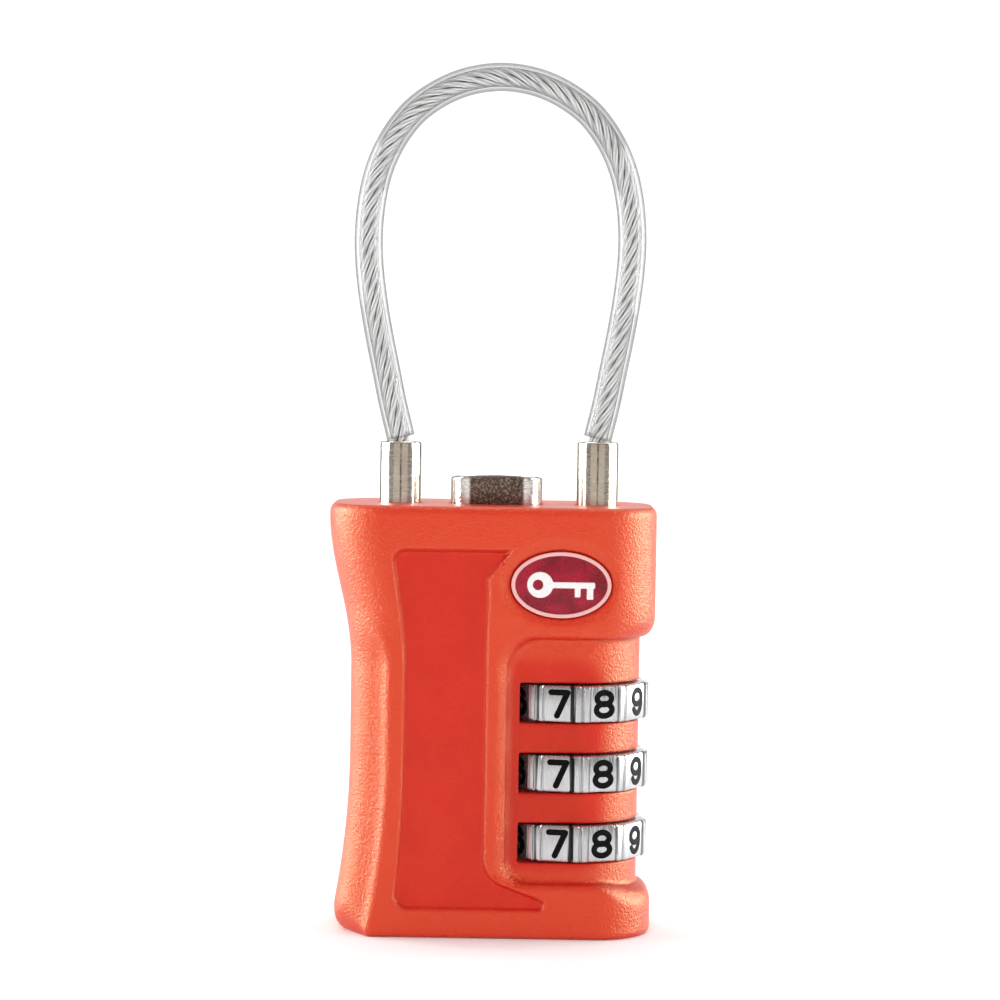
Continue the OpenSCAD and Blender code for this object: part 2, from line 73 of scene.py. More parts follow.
FRONT_LOW, FRONT_HIGH = box_mm("front_shell")
HALF_WIDTH = FRONT_HIGH[0]
HALF_DEPTH = -FRONT_LOW[1]
TOP = FRONT_HIGH[2]

DIALS = {"upper": "dial_1", "middle": "dial_2", "lower": "dial_3"}
DIAL_BOXES = {place: box_mm(node) for place, node in DIALS.items()}
DIAL_X = frame["joints"][0]["pos_m"][0] / MM
DIAL_Z = {place: (low[2] + high[2]) / 2 for place, (low, high) in DIAL_BOXES.items()}
DIAL_H = DIAL_BOXES["upper"][1][2] - DIAL_BOXES["upper"][0][2]
DIAL_R = 7.15
SLOT_H = DIAL_H + 0.3

CAPTIVE_LOW, CAPTIVE_HIGH = box_mm("captive_ferrule")
FREE_LOW, FREE_HIGH = box_mm("free_ferrule")
CAPTIVE_X = (CAPTIVE_LOW[0] + CAPTIVE_HIGH[0]) / 2
FREE_X = (FREE_LOW[0] + FREE_HIGH[0]) / 2
FOOT_X = (CAPTIVE_X + FREE_X) / 2
LOOP_X = 0.3
FERRULE_R = (FREE_HIGH[0] - FREE_LOW[0]) / 2
FERRULE_OUT = CAPTIVE_HIGH[2] - TOP
FREE_EXTRA = FREE_HIGH[2] - CAPTIVE_HIGH[2]

BUTTON_W, BUTTON_D, BUTTON_R = 8.6, 5.0, 1.9
BUTTON_TOP = box_mm("push_button")[1][2]

KEY_X = (box_mm("plug_housing")[0][0] + box_mm("plug_housing")[1][0]) / 2
BADGE_LOW, BADGE_HIGH = box_mm("badge_plate")
BADGE_X = (BADGE_LOW[0] + BADGE_HIGH[0]) / 2
BADGE_Z = (BADGE_LOW[2] + BADGE_HIGH[2]) / 2
BADGE_W = BADGE_HIGH[0] - BADGE_LOW[0]
BADGE_H = BADGE_HIGH[2] - BADGE_LOW[2]


# ---------- camera ----------

def add_camera(elevation=2.8, distance=0.3, aim=(0.63, 0.0, 40.3), seen=94.1, roll=0.9):
    """A close camera looking along +Y from a little above; seen is the view's width in mm."""
    camera = bpy.data.objects.new("camera", bpy.data.cameras.new("camera"))
    bpy.context.collection.objects.link(camera)
    tilt = math.radians(elevation)
    towards = Vector((0, -math.cos(tilt), math.sin(tilt)))
    turn = (-towards).to_track_quat("-Z", "Y").to_matrix().to_4x4()
    place = Matrix.Translation(Vector(aim) * MM + towards * distance)
    camera.matrix_world = place @ turn @ Matrix.Rotation(math.radians(roll), 4, "Z")
    camera.data.lens = camera.data.sensor_width * distance / (seen * MM)
    camera.data.clip_start = 0.01
    bpy.context.scene.camera = camera
    return camera


# ---------- distance fields ----------
# A solid is a function of x, y and z that is negative inside and grows like the distance.

def smooth(t):
    """Eases from 0 to 1 as t goes from 0 to 1, and stays flat beyond."""
    t = np.clip(t, 0, 1)
    return t * t * (3 - 2 * t)


def both(a, b, r):
    """Intersection of two fields, with a round of radius r along the edge."""
    u, v = np.maximum(a + r, 0), np.maximum(b + r, 0)
    return np.minimum(np.maximum(a, b), -r) + np.sqrt(u * u + v * v)


def either(a, b, r):
    """Union of two fields, with a fillet of radius r along the inner corner."""
    return -both(-a, -b, r)


def without(a, b, r):
    """What is left of a when b is cut away, with a round of radius r along the rim."""
    return both(a, -b, r)


def block(u, v, half_u, half_v, r=0.0):
    """A rectangle with rounded corners, in two coordinates."""
    du, dv = np.abs(u) - half_u + r, np.abs(v) - half_v + r
    outside = np.hypot(np.maximum(du, 0), np.maximum(dv, 0))
    return outside + np.minimum(np.maximum(du, dv), 0) - r


def slab(w, low, high):
    """The space between two levels of one coordinate."""
    return np.abs(w - (low + high) / 2) - (high - low) / 2


def segment_gap(u, v, start, end):
    """How far a point is from a straight segment, along each of the two coordinates."""
    du, dv = end[0] - start[0], end[1] - start[1]
    t = np.clip(((u - start[0]) * du + (v - start[1]) * dv) / (du * du + dv * dv), 0, 1)
    return u - start[0] - t * du, v - start[1] - t * dv


def polygon_field(u, v, points):
    """Distance to a closed outline, negative inside."""
    points = np.asarray(points, float)
    nearest = np.full(np.broadcast(u, v).shape, np.inf)
    inside = np.zeros(nearest.shape, bool)
    for (au, av), (bu, bv) in zip(points, np.roll(points, -1, axis=0)):
        across, up = segment_gap(u, v, (au, av), (bu, bv))
        nearest = np.minimum(nearest, across ** 2 + up ** 2)
        if bv != av:
            crosses = (av > v) != (bv > v)
            inside ^= crosses & (u < au + (v - av) / (bv - av) * (bu - au))
    return np.where(inside, -1, 1) * np.sqrt(nearest)


def surface_net(values, axes):
    """Quads over a sampled field's zero surface, with one vertex in each cell that it crosses."""
    inside = values < 0
    cells = tuple(n - 1 for n in values.shape)
    corners = [(i, j, k) for i in (0, 1) for j in (0, 1) for k in (0, 1)]

    def shifted(array, by):
        return array[tuple(slice(b, b + n) for b, n in zip(by, cells))]

    count = sum(shifted(inside, c).astype(np.int8) for c in corners)
    active = (count > 0) & (count < 8)
    number = np.full(cells, -1, np.int64)
    number[active] = np.arange(active.sum())
    where = np.argwhere(active)
    total, hits = np.zeros((len(where), 3)), np.zeros(len(where))
    for axis in range(3):
        for low in (c for c in corners if c[axis] == 0):
            a = where + np.array(low)
            b = a.copy()
            b[:, axis] += 1
            fa, fb = values[tuple(a.T)], values[tuple(b.T)]
            cross = (fa < 0) != (fb < 0)
            t = np.where(cross, fa / np.where(cross, fa - fb, 1), 0)
            for w in range(3):
                pa, pb = axes[w][a[:, w]], axes[w][b[:, w]]
                total[cross, w] += (pa + t * (pb - pa))[cross]
            hits[cross] += 1
    quads = []
    for axis in range(3):
        first, second = (axis + 1) % 3, (axis + 2) % 3
        lower = np.take(inside, range(values.shape[axis] - 1), axis)
        upper = np.take(inside, range(1, values.shape[axis]), axis)
        for sign, change in ((1, lower & ~upper), (-1, ~lower & upper)):
            at = np.argwhere(change)
            keep = (at[:, first] > 0) & (at[:, second] > 0)
            keep &= (at[:, first] < cells[first]) & (at[:, second] < cells[second])
            at = at[keep]
            ring = []
            for i, j in ((1, 1), (0, 1), (0, 0), (1, 0))[::sign]:
                cell = at.copy()
                cell[:, first] -= i
                cell[:, second] -= j
                ring.append(number[tuple(cell.T)])
            quads.append(np.stack(ring, 1))
    return total / hits[:, None], np.concatenate(quads)


def settle(points, field, rounds=3, step=0.02, limit=0.12):
    """Moves points onto a field's zero surface, along its slope."""
    for _ in range(rounds):
        value = field(*points.T)
        slope = np.stack([
            field(*(points + step * unit).T) - field(*(points - step * unit).T)
            for unit in np.eye(3)
        ], 1) / (2 * step)
        size = np.maximum((slope ** 2).sum(1), 0.05)
        move = slope * (value / size)[:, None]
        reach = np.linalg.norm(move, axis=1, keepdims=True)
        points = points - move * np.minimum(1, limit / np.maximum(reach, 1e-9))
    return points


def steps(low, high, size):
    """Evenly spaced grid lines, about size apart."""
    return np.linspace(low, high, int(round((high - low) / size)) + 1)


# ---------- meshes ----------

NOT_QUITE_ZERO = 1e-9
WEIGH_STRENGTH = 60

def add_mesh(name, points, faces, material):
    """Makes an object from points in millimetres."""
    mesh = bpy.data.meshes.new(name)
    points = np.asarray(points, float) * MM
    faces = np.asarray(faces)
    mesh.vertices.add(len(points))
    mesh.vertices.foreach_set("co", points.ravel())
    size = faces.shape[1]
    mesh.loops.add(faces.size)
    mesh.loops.foreach_set("vertex_index", faces.ravel().astype(np.int32))
    mesh.polygons.add(len(faces))
    mesh.polygons.foreach_set("loop_start", np.arange(0, faces.size, size, dtype=np.int32))
    mesh.update(calc_edges=True)
    mesh.validate()
    mesh.polygons.foreach_set("use_smooth", [True] * len(mesh.polygons))
    thing = bpy.data.objects.new(name, mesh)
    bpy.context.collection.objects.link(thing)
    mesh.materials.append(material)
    return thing


def surface(field, axes):
    """Points and quads of a field's zero surface, from its values on a grid."""
    u, v, w = axes
    values = field(u[:, None, None], v[None, :, None], w[None, None, :])
    values = np.broadcast_to(values, (len(u), len(v), len(w)))
    points, quads = surface_net(np.where(values == 0, NOT_QUITE_ZERO, values), axes)
    return settle(points, field), quads


def solid(name, field, axes, material, keep):
    """The surface of a field as an object; keep is the share of faces left where it is flat."""
    points, quads = surface(field, axes)
    thing = add_mesh(name, points, quads, material)
    thin_out(thing, keep)
    return thing


def thin_out(thing, keep):
    """Merges faces where they lie flat, so that the curves keep theirs."""
    thing.modifiers.new("thin", "DECIMATE").ratio = keep
    weigh = thing.modifiers.new("weigh", "WEIGHTED_NORMAL")
    weigh.weight = WEIGH_STRENGTH
    weigh.keep_sharp = True
    graph = bpy.context.evaluated_depsgraph_get()
    mesh = bpy.data.meshes.new_from_object(thing.evaluated_get(graph))
    thing.modifiers.clear()
    old = thing.data
    thing.data = mesh
    bpy.data.meshes.remove(old)


def mark(thing, name, field):
    """Stores a field's value, from 0 to 1, at each vertex of a piece, for its material."""
    flat = np.empty(len(thing.data.vertices) * 3)
    thing.data.vertices.foreach_get("co", flat)
    x, y, z = (flat.reshape(-1, 3) / MM).T
    layer = thing.data.attributes.new(name, "FLOAT", "POINT")
    layer.data.foreach_set("value", np.clip(field(x, y, z), 0, 1).astype(np.float32))


# ---------- material building blocks ----------

NOISE_ROUGHNESS = 0.55

class Shader:
    """A material's node tree, with short calls for the nodes used here."""

    def __init__(self, name):
        self.material = bpy.data.materials.new(name)
        self.material.use_nodes = True
        self.tree = self.material.node_tree
        self.surface = self.tree.nodes["Principled BSDF"]
        self.place = self.node("ShaderNodeTexCoord").outputs["Object"]

    def node(self, kind, settings=None, **inputs):
        """Adds a node; an input is given by its name, or by its number after a low line."""
        node = self.tree.nodes.new(kind)
        for key, value in (settings or {}).items():
            setattr(node, key, value)
        for key, value in inputs.items():
            self.put(node.inputs[int(key[1:]) if key[1:].isdigit() else key], value)
        return node

    def put(self, socket, value):
        if isinstance(value, bpy.types.NodeSocket):
            self.tree.links.new(value, socket)
        else:
            socket.default_value = value

    def set(self, **values):
        """Sets inputs of the principled shader; a low line stands for a space."""
        for key, value in values.items():
            self.put(self.surface.inputs[key.replace("_", " ")], value)

    def math(self, kind, a, b):
        return self.node("ShaderNodeMath", {"operation": kind}, _0=a, _1=b).outputs[0]

    def scaled(self, size):
        """Object coordinates stretched by one factor for each axis."""
        return self.node("ShaderNodeMapping", None, _0=self.place, Scale=size).outputs[0]

    def noise(self, scale, detail, at=None):
        return self.node("ShaderNodeTexNoise", None, Vector=at or self.place, Scale=scale,
                         Detail=detail, Roughness=NOISE_ROUGHNESS).outputs["Fac"]

    def attribute(self, name):
        return self.node("ShaderNodeAttribute", {"attribute_name": name}).outputs["Fac"]

    def ranged(self, value, low, high, to_low=0.0, to_high=1.0):
        """Eases a value from its range low..high to another range, clamped at both ends."""
        node = self.node("ShaderNodeMapRange", {"interpolation_type": "SMOOTHSTEP"})
        for socket, number in zip(node.inputs, (value, low, high, to_low, to_high)):
            self.put(socket, number)
        return node.outputs[0]

    def mix(self, factor, a, b):
        """Goes from colour a to colour b as factor goes from 0 to 1."""
        node = self.node("ShaderNodeMix", {"data_type": "RGBA"})
        self.put(node.inputs[0], factor)
        for socket, value in ((node.inputs[6], a), (node.inputs[7], b)):
            self.put(socket, value if isinstance(value, bpy.types.NodeSocket) else (*value, 1))
        return node.outputs[2]

    def bump(self, height, strength, distance):
        return self.node("ShaderNodeBump", None, Strength=strength, Distance=distance,
                         Height=height).outputs[0]


# ---------- casing ----------

SIDE_R, TOP_R, FOOT_R = 5.2, 0.9, 0.6
WAIST, TOP_FLARE, FOOT_FLARE = 12.8, 2.2, 1.25
TOP_FLARE_FROM, FOOT_FLARE_FROM, FLARE_H = 25, 17, 14
CREASE_IN, CREASE_R = 3.4, 0.25
RAIL_DROP, RAIL_TOP, RAIL_FADE, RAIL_R = 1.2, 25.5, 5.5, 0.7
MAIN_EASE, RAIL_EASE = 1.6, 2.4
TOE_X, TOE_R = -10.8, 2.5
RECESS_LOW, RECESS_HIGH = 5.1, 27.9
RECESS_LEFT, RECESS_REACH = 0.95, 20
RECESS_TOP_R, RECESS_FOOT_R, RECESS_FLOOR_R = 3.0, 2.2, 0.45
RECESS_DIP = 0.6
RECESS_RIM, RECESS_RIM_MORE = 0.65, 1.1
WINDOW_LEFT = 2.75
BARREL_R = 6.2
PANEL_DEPTH, PANEL_SLOPE = 0.4, 0.6
PANEL_MARK = 0.7
BADGE_ROOM, BADGE_POCKET = 0.12, 0.6
BEVEL_OUT, BEVEL_SLOPE, BEVEL_STEEP = 0.72, 2.5, 2.7
EDGE_R, SLOT_EDGE_R, PANEL_EDGE_R, HOLE_EDGE_R, INNER_EDGE_R = 0.12, 0.13, 0.14, 0.15, 0.05
ROOM, DIAL_ROOM = 0.1, 0.25
WAY_OUT = 50


def left_x(z):
    """The casing's left side, narrow in the middle and wide at the top and foot."""
    foot = np.maximum(0, (FOOT_FLARE_FROM - z) / FLARE_H) ** 2
    return -(WAIST + TOP_FLARE * smooth((z - TOP_FLARE_FROM) / FLARE_H) + FOOT_FLARE * foot)


def crease_x(z):
    """Where the front face breaks off into the grip along the left side."""
    return left_x(z) + CREASE_IN - 1.2 * smooth((z - TOP_FLARE_FROM) / 6)


def outer(x):
    """0 over most of the casing's width and 1 near its right side."""
    return smooth((x - 10) / 4)


def casing_paint():
    """Orange-red paint over a fine spark-eroded grain; the sunk panels are a redder, calmer paint, and the floor
    of the dials' recess is darkened with painted shade.
    """
    s = Shader("casing_paint")
    panel = s.attribute("panel")
    sunk, deep = s.ranged(panel, 0, PANEL_MARK), s.ranged(panel, PANEL_MARK, 1)
    grain = s.noise(4200, 2.0)
    fine = s.noise(9500, 2.0)
    cloud = s.noise(260, 3.0)
    # The sunk panels' redder paint; on the recess floor this step and the next one are painted shade.
    base = s.mix(sunk, (0.545, 0.010, 0.006), (0.475, 0.006, 0.009))
    base = s.mix(deep, base, (0.42, 0.006, 0.008))
    base = s.mix(s.ranged(cloud, 0.35, 0.7, 0, 0.25), base, (0.57, 0.018, 0.007))
    base = s.mix(s.ranged(grain, 0.55, 0.75, 0, 0.2), base, (0.60, 0.035, 0.012))
    rough = s.ranged(fine, 0.3, 0.7, 0.28, 0.42)
    calm = s.ranged(sunk, 0, 1, 1, 0.45)
    height = s.math("MULTIPLY", s.math("ADD", grain, s.math("MULTIPLY", fine, 0.5)), calm)
    s.set(Base_Color=base, Roughness=rough, Specular_IOR_Level=s.ranged(sunk, 0, 1, 0.9, 0.45),
          Specular_Tint=(0.7, 1.0, 0.48, 1), Normal=s.bump(height, 0.9, 0.0001))
    return s.material


def arc(u, v, r, start, stop, n=8):
    """Points along an arc, from one angle to another in degrees."""
    angles = np.radians(np.linspace(start, stop, n + 1))
    return [(u + r * math.cos(a), v + r * math.sin(a)) for a in angles]


def panel_left(z):
    """The sunk panel's left side, which follows the casing's more gently."""
    return 0.6 * left_x(z) - 0.35


# The sunk panel's outline as (x, z), with a hook at its lower right corner
PANEL = (
    [(1.8, 36.0)]
    + arc(panel_left(35) + 1.2, 34.8, 1.2, 90, 180)
    + [(panel_left(z), z) for z in range(33, 5, -3)]
    + arc(panel_left(4) + 1.3, 3.9, 1.3, 180, 270)
    + arc(4.7, 3.2, 0.6, -90, 70)
    + arc(2.2, 7.4, 2.45, 255, 180)
    + [(-0.25, 33.4)]
)


def casing_form(x, depth, z):
    """The casing with its grip scoop, before anything is cut; depth is the distance from y = 0."""
    sides = np.maximum(x - HALF_WIDTH, left_x(z) - x)
    face = depth - HALF_DEPTH
    drop = RAIL_DROP * (1 - smooth((z - RAIL_TOP) / RAIL_FADE))
    grip = np.where(x < 0, drop / RAIL_DROP, 0)
    main = both(sides, face, SIDE_R - MAIN_EASE * grip)
    slope = (face - (x - crease_x(z))) * math.sqrt(0.5)
    main = both(main, slope, CREASE_R)
    rail = both(sides, face + drop, SIDE_R - RAIL_EASE * grip)
    form = both(either(main, rail, RAIL_R), z - TOP, TOP_R)
    return both(form, -z, FOOT_R + TOE_R * smooth((TOE_X - x) / 2.5))


def recess(x, depth, z):
    """What the cut around the dials takes away; its left wall slopes."""
    low = RECESS_LOW - RECESS_DIP * outer(x)
    middle = (low + RECESS_HIGH) / 2
    half = (RECESS_HIGH - low) / 2
    left = RECESS_LEFT + np.clip(HALF_DEPTH - depth, 0, HALF_DEPTH - BARREL_R)
    corner = np.where(z > middle, RECESS_TOP_R, RECESS_FOOT_R)
    plan = block(x - (left + RECESS_REACH), z - middle, RECESS_REACH, half, corner)
    barrel = np.hypot(np.maximum(x - DIAL_X, 0), depth) - BARREL_R
    return both(plan, -barrel, RECESS_FLOOR_R)


def slot_cut(x, z):
    """The three slots that the dials turn in."""
    cuts = [slab(z, middle - SLOT_H / 2, middle + SLOT_H / 2) for middle in DIAL_Z.values()]
    return np.maximum(np.minimum.reduce(cuts), WINDOW_LEFT - x)


# Round rooms about the dials' axis, as (radius, lowest, highest)
AXIS_ROOMS = (
    (3.2, DIAL_Z["lower"], 28.3),  # the sleeves and the clutch spring
    (1.7, 27.3, 30.3),             # the spindle
    (2.0, -1, 4),                  # the code-change button's head,
    (3.1, 2.35, 5.3),              # its flange
    (2.7, 4, 8),                   # and its tube
)


def dial_room(x, y, z):
    """Room for the dials and for what turns or slides on their axis."""
    across = np.hypot(x - DIAL_X, y)
    rooms = [np.maximum(across - DIAL_R - DIAL_ROOM, slab(z, m - SLOT_H / 2, m + SLOT_H / 2))
             for m in DIAL_Z.values()]
    rooms += [np.maximum(across - r, slab(z, low, high)) for r, low, high in AXIS_ROOMS]
    return np.minimum.reduce(rooms)


def rooms_inside(x, y, z):
    """The spaces inside the casing that its moving pieces need."""
    def box(low, high):
        middle = (np.array(low) + high) / 2
        half = (np.array(high) - low) / 2
        return np.maximum(block(x - middle[0], y - middle[1], half[0], half[1]),
                          np.abs(z - middle[2]) - half[2])

    def drum(cx, cy, r, low, high):
        return np.maximum(np.hypot(x - cx, y - cy) - r, slab(z, low, high))

    left, right = LOOP_X - BUTTON_W / 2, LOOP_X + BUTTON_W / 2
    return np.minimum.reduce([
        dial_room(x, y, z),
        # the detent spring
        box((-0.6, -1.8, 6), (1.2, 1.4, 25)),
        # the release plate, the push button with its lobes, and their spring
        box((left - ROOM, -2.8, 29.3), (FREE_X + ROOM, 2.8, 32.4)),
        box((left - 2 * ROOM, -2.7, 32.3), (right + 2 * ROOM, 2.7, 37.1)),
        box((-3.1, -3.5, 32.4), (1.6, 3.5, 37.1)),
        drum(-2.4, 0, 2.1, 26.5, 31.5),
        # the latch bolt, its ear and its spring
        box((right, -1.4, 34.5), (FREE_X - 1, 1.4, 35.9)),
        box((2.9, 0, 34.4), (6.3, 5.2, 35.9)),
        np.maximum(np.hypot(y - 4.4, z - 35.2) - 0.95, slab(x, 0.9, 5.9)),
        # the captive ferrule's snap ring
        drum(CAPTIVE_X, 0, 3.1, 34.3, 35.1),
        # the key cylinder, and the bypass slide with its arm
        drum(KEY_X, 0, 4.05, -1, 17.2),
        box((KEY_X - 1.2, 1.5, 12), (KEY_X + 1.2, 4.5, 34.4)),
        box((KEY_X, 3.4, 31.5), (6.3, 4.4, 34.4)),
    ])


def top_holes(x, y, z):
    """Where the button and the two ferrules come out."""
    plan = block(x - LOOP_X, y, BUTTON_W / 2 + ROOM, BUTTON_D / 2 + ROOM, BUTTON_R)
    button = np.maximum(plan, slab(z, 36, WAY_OUT))
    bores = [np.maximum(np.hypot(x - at, y) - FERRULE_R - ROOM, slab(z, 33, WAY_OUT))
             for at in (CAPTIVE_X, FREE_X)]
    return np.minimum(button, np.minimum(*bores))


def badge_field(x, z, grow=0.0):
    """The badge's oval outline."""
    half = np.array([BADGE_W / 2 + grow, BADGE_H / 2 + grow])
    u, w = (x - BADGE_X) / half[0], (z - BADGE_Z) / half[1]
    reach = np.hypot(u, w)
    slope = np.hypot(u / half[0], w / half[1]) / np.maximum(reach, 1e-6)
    return (reach - 1) / np.maximum(slope, 1e-3)


def casing(x, y, z):
    """The whole casing, with every cut and room."""
    depth = np.abs(y)
    rim = RECESS_RIM + RECESS_RIM_MORE * outer(x)
    form = without(casing_form(x, depth, z), recess(x, depth, z), rim)
    form = without(form, slot_cut(x, z), SLOT_EDGE_R)
    wall = polygon_field(x, z, PANEL) - PANEL_SLOPE * (depth - HALF_DEPTH)
    wall = wall / math.hypot(1, PANEL_SLOPE)
    sunk = both(wall, HALF_DEPTH - PANEL_DEPTH - depth, EDGE_R)
    form = without(form, sunk, PANEL_EDGE_R)
    badge = np.maximum(badge_field(x, z, BADGE_ROOM), y + HALF_DEPTH - BADGE_POCKET)
    bevel = (badge_field(x, z, BEVEL_OUT) + BEVEL_SLOPE * (y + HALF_DEPTH)) / BEVEL_STEEP
    form = without(form, np.minimum(badge, bevel), EDGE_R)
    form = without(form, top_holes(x, y, z), HOLE_EDGE_R)
    return without(form, rooms_inside(x, y, z), INNER_EDGE_R)


def shell(side):
    """One half of the casing: side is -1 for the front and 1 for the rear."""
    def field(x, y, z):
        return both(casing(x, y, z), -side * y, EDGE_R)
    return field


def panel_and_recess_shade_mask(x, y, z):
    """PANEL_MARK in the sunk panels, and up to 1 on the floor of the dials' recess, where it marks painted shade.
    """
    depth = np.abs(y)
    in_panel = smooth(-polygon_field(x, z, PANEL) / 0.25 - 0.2)
    in_panel = in_panel * (depth > HALF_DEPTH - PANEL_DEPTH - 0.1)
    # Painted shade: the recess floor between the dials is marked for a darker red.
    recess_painted_shade = (x > RECESS_LEFT + 0.3) * smooth((12.5 - x) / 5) * (depth < HALF_DEPTH - 0.6)
    recess_painted_shade = recess_painted_shade * smooth((z - RECESS_LOW) / 3) * smooth((RECESS_HIGH - z) / 5)
    return np.maximum(PANEL_MARK * in_panel, recess_painted_shade)


def build_shells():
    fine = 0.17
    margin = 2 * fine
    x = steps(-HALF_WIDTH - margin, HALF_WIDTH + margin, fine)
    z = steps(-margin, TOP + margin, fine)
    paint = casing_paint()
    for name, side in (("front_shell", -1), ("rear_shell", 1)):
        # close steps at the joint, wide ones in the plain middle, close ones at the face
        deep = np.concatenate([
            steps(-margin, 0.4, 0.5 * fine)[:-1],
            steps(0.4, 4.0, 2 * fine)[:-1],
            steps(4.0, HALF_DEPTH + margin, fine),
        ])
        y = np.sort(side * deep)
        piece = solid(f"{name}_moulding", shell(side), (x, y, z), paint, keep=0.45)
        mark(piece, "panel", panel_and_recess_shade_mask)
        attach(piece, "casing")
        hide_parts(name)


# ---------- shackle ----------

# Half of the cable's route, as (distance from the loop's middle, height over the casing),
# from inside the ferrule up to the crown; the same points as the CAD's
ROPE_HALF = [
    (9.25, 2.6), (9.25, 5.75), (9.45, 6.9), (9.8, 8.3), (10.2, 10.1), (10.65, 12.4),
    (11.1, 14.6), (11.55, 17), (11.9, 19.2), (12.2, 21.6), (12.35, 24), (12.3, 26.2),
    (12.05, 28.5), (11.55, 30.8), (10.75, 32.9), (9.6, 34.9), (8.1, 36.7), (6.15, 38.15),
    (4.1, 39.15), (2.1, 39.7), (0, 39.9),
]
ROPE_SETTLE = 24
ROPE_STEP, SHEATH_STEP = 0.42, 0.6
SHEATH_R = 2.65 / 2
SHEATH_SIDES = 28
ROPE_R = 0.86
WIRE_R = ROPE_R / 9
WIRE_SIDES = 5
STRAND_LAY, WIRE_LAY = 9.6, 9.0
SHEATH_GAP = 0.3
BORE_ROOM = 0.05
WIRE_TONES = (1.0, 0.15, 0.9, 0.3, 0.75, 0.0)


def route(points, spacing):
    """A smooth line through given points, as evenly spaced points and directions."""
    p = np.array(points, float)
    p = np.concatenate([[2 * p[0] - p[1]], p, [2 * p[-1] - p[-2]]])
    fine = []
    for a, b, c, d in zip(p, p[1:], p[2:], p[3:]):
        t = np.linspace(0, 1, 24, endpoint=False)[:, None]
        fine.append(0.5 * (2 * b + (c - a) * t + (2 * a - 5 * b + 4 * c - d) * t ** 2
                           + (3 * b - 3 * c + d - a) * t ** 3))
    line = np.concatenate(fine + [p[-2][None]])
    run = np.concatenate([[0], np.cumsum(np.linalg.norm(np.diff(line, axis=0), axis=1))])
    at = np.linspace(0, run[-1], int(run[-1] / spacing) + 1)
    line = np.stack([np.interp(at, run, line[:, w]) for w in range(3)], 1)
    direction = np.gradient(line, axis=0)
    return line, direction / np.linalg.norm(direction, axis=1, keepdims=True), at


def cable_points(half):
    """Both halves of the cable as points; their feet stand in the ferrules."""
    def point(side, x, z):
        foot = 1 - smooth(z / ROPE_SETTLE)
        lift = FREE_EXTRA * foot if side > 0 else 0
        return LOOP_X + (FOOT_X - LOOP_X) * foot + side * x, 0, TOP + z + lift
    return [point(-1, *p) for p in half] + [point(1, *p) for p in half[-2::-1]]


def sweep(centres, across, up, r, sides):
    """Rings of a round tube about a line of centres, as points."""
    turn = 2 * math.pi * np.arange(sides) / sides
    return (centres[:, None] + r * (np.cos(turn)[:, None] * across[:, None]
                                    + np.sin(turn)[:, None] * up[:, None]))


def tube_faces(rings, sides, first=0, closed=False):
    """Quads between a tube's rings; closed joins the last ring to the first."""
    spans = rings if closed else rings - 1
    i = np.arange(spans)[:, None] * sides
    j = (np.arange(spans)[:, None] + 1) % rings * sides
    k = np.arange(sides)[None]
    n = (k + 1) % sides
    return first + np.stack([i + k, i + n, j + n, j + k], -1).reshape(-1, 4)


def clear_vinyl():
    """Clear sheath: see-through, with gloss and a grey line where the wall is seen edge on."""
    s = Shader("clear_vinyl")
    s.tree.nodes.remove(s.surface)
    facing = s.node("ShaderNodeLayerWeight", None, Blend=0.5).outputs["Facing"]
    haze = s.noise(900, 2.0)
    tint = s.mix(s.ranged(facing, 0.05, 0.55), (0.985, 0.985, 0.985), (0.615, 0.615, 0.615))
    clear = s.node("ShaderNodeBsdfTransparent", None, Color=tint).outputs[0]
    gloss = s.node("ShaderNodeBsdfGlossy", None, Color=(0.9, 0.9, 0.9, 1),
                   Roughness=s.ranged(haze, 0.3, 0.7, 0.06, 0.14)).outputs[0]
    shine = s.ranged(facing, 0.1, 0.9, 0.035, 0.015)
    skin = s.node("ShaderNodeMixShader", None, _0=shine, _1=clear, _2=gloss).outputs[0]
    s.tree.links.new(skin, s.tree.nodes["Material Output"].inputs["Surface"])
    return s.material


def strand_steel():
    """Drawn galvanised wire: some wires brighter than others, and painted shade in the gaps between the strands.
    """
    s = Shader("strand_steel")
    crown, tone = s.attribute("crown"), s.attribute("tone")
    tarnish = s.noise(900, 3.0)
    fine = s.noise(9000, 2.0)
    bright = s.mix(s.ranged(tarnish, 0.35, 0.7), (0.96, 0.96, 0.955), (0.88, 0.88, 0.875))
    light = s.mix(tone, (0.52, 0.52, 0.515), bright)
    # Painted shade: the deeper below the rope's crown, the darker, down to near black in the gaps.
    base = s.mix(s.ranged(crown, 0.58, 0.84), (0.03, 0.03, 0.03), light)
    s.set(Base_Color=base, Specular_IOR_Level=0.35,
          Roughness=s.ranged(fine, 0.3, 0.7, 0.4, 0.55), Normal=s.bump(fine, 0.2, 0.00002))
    return s.material


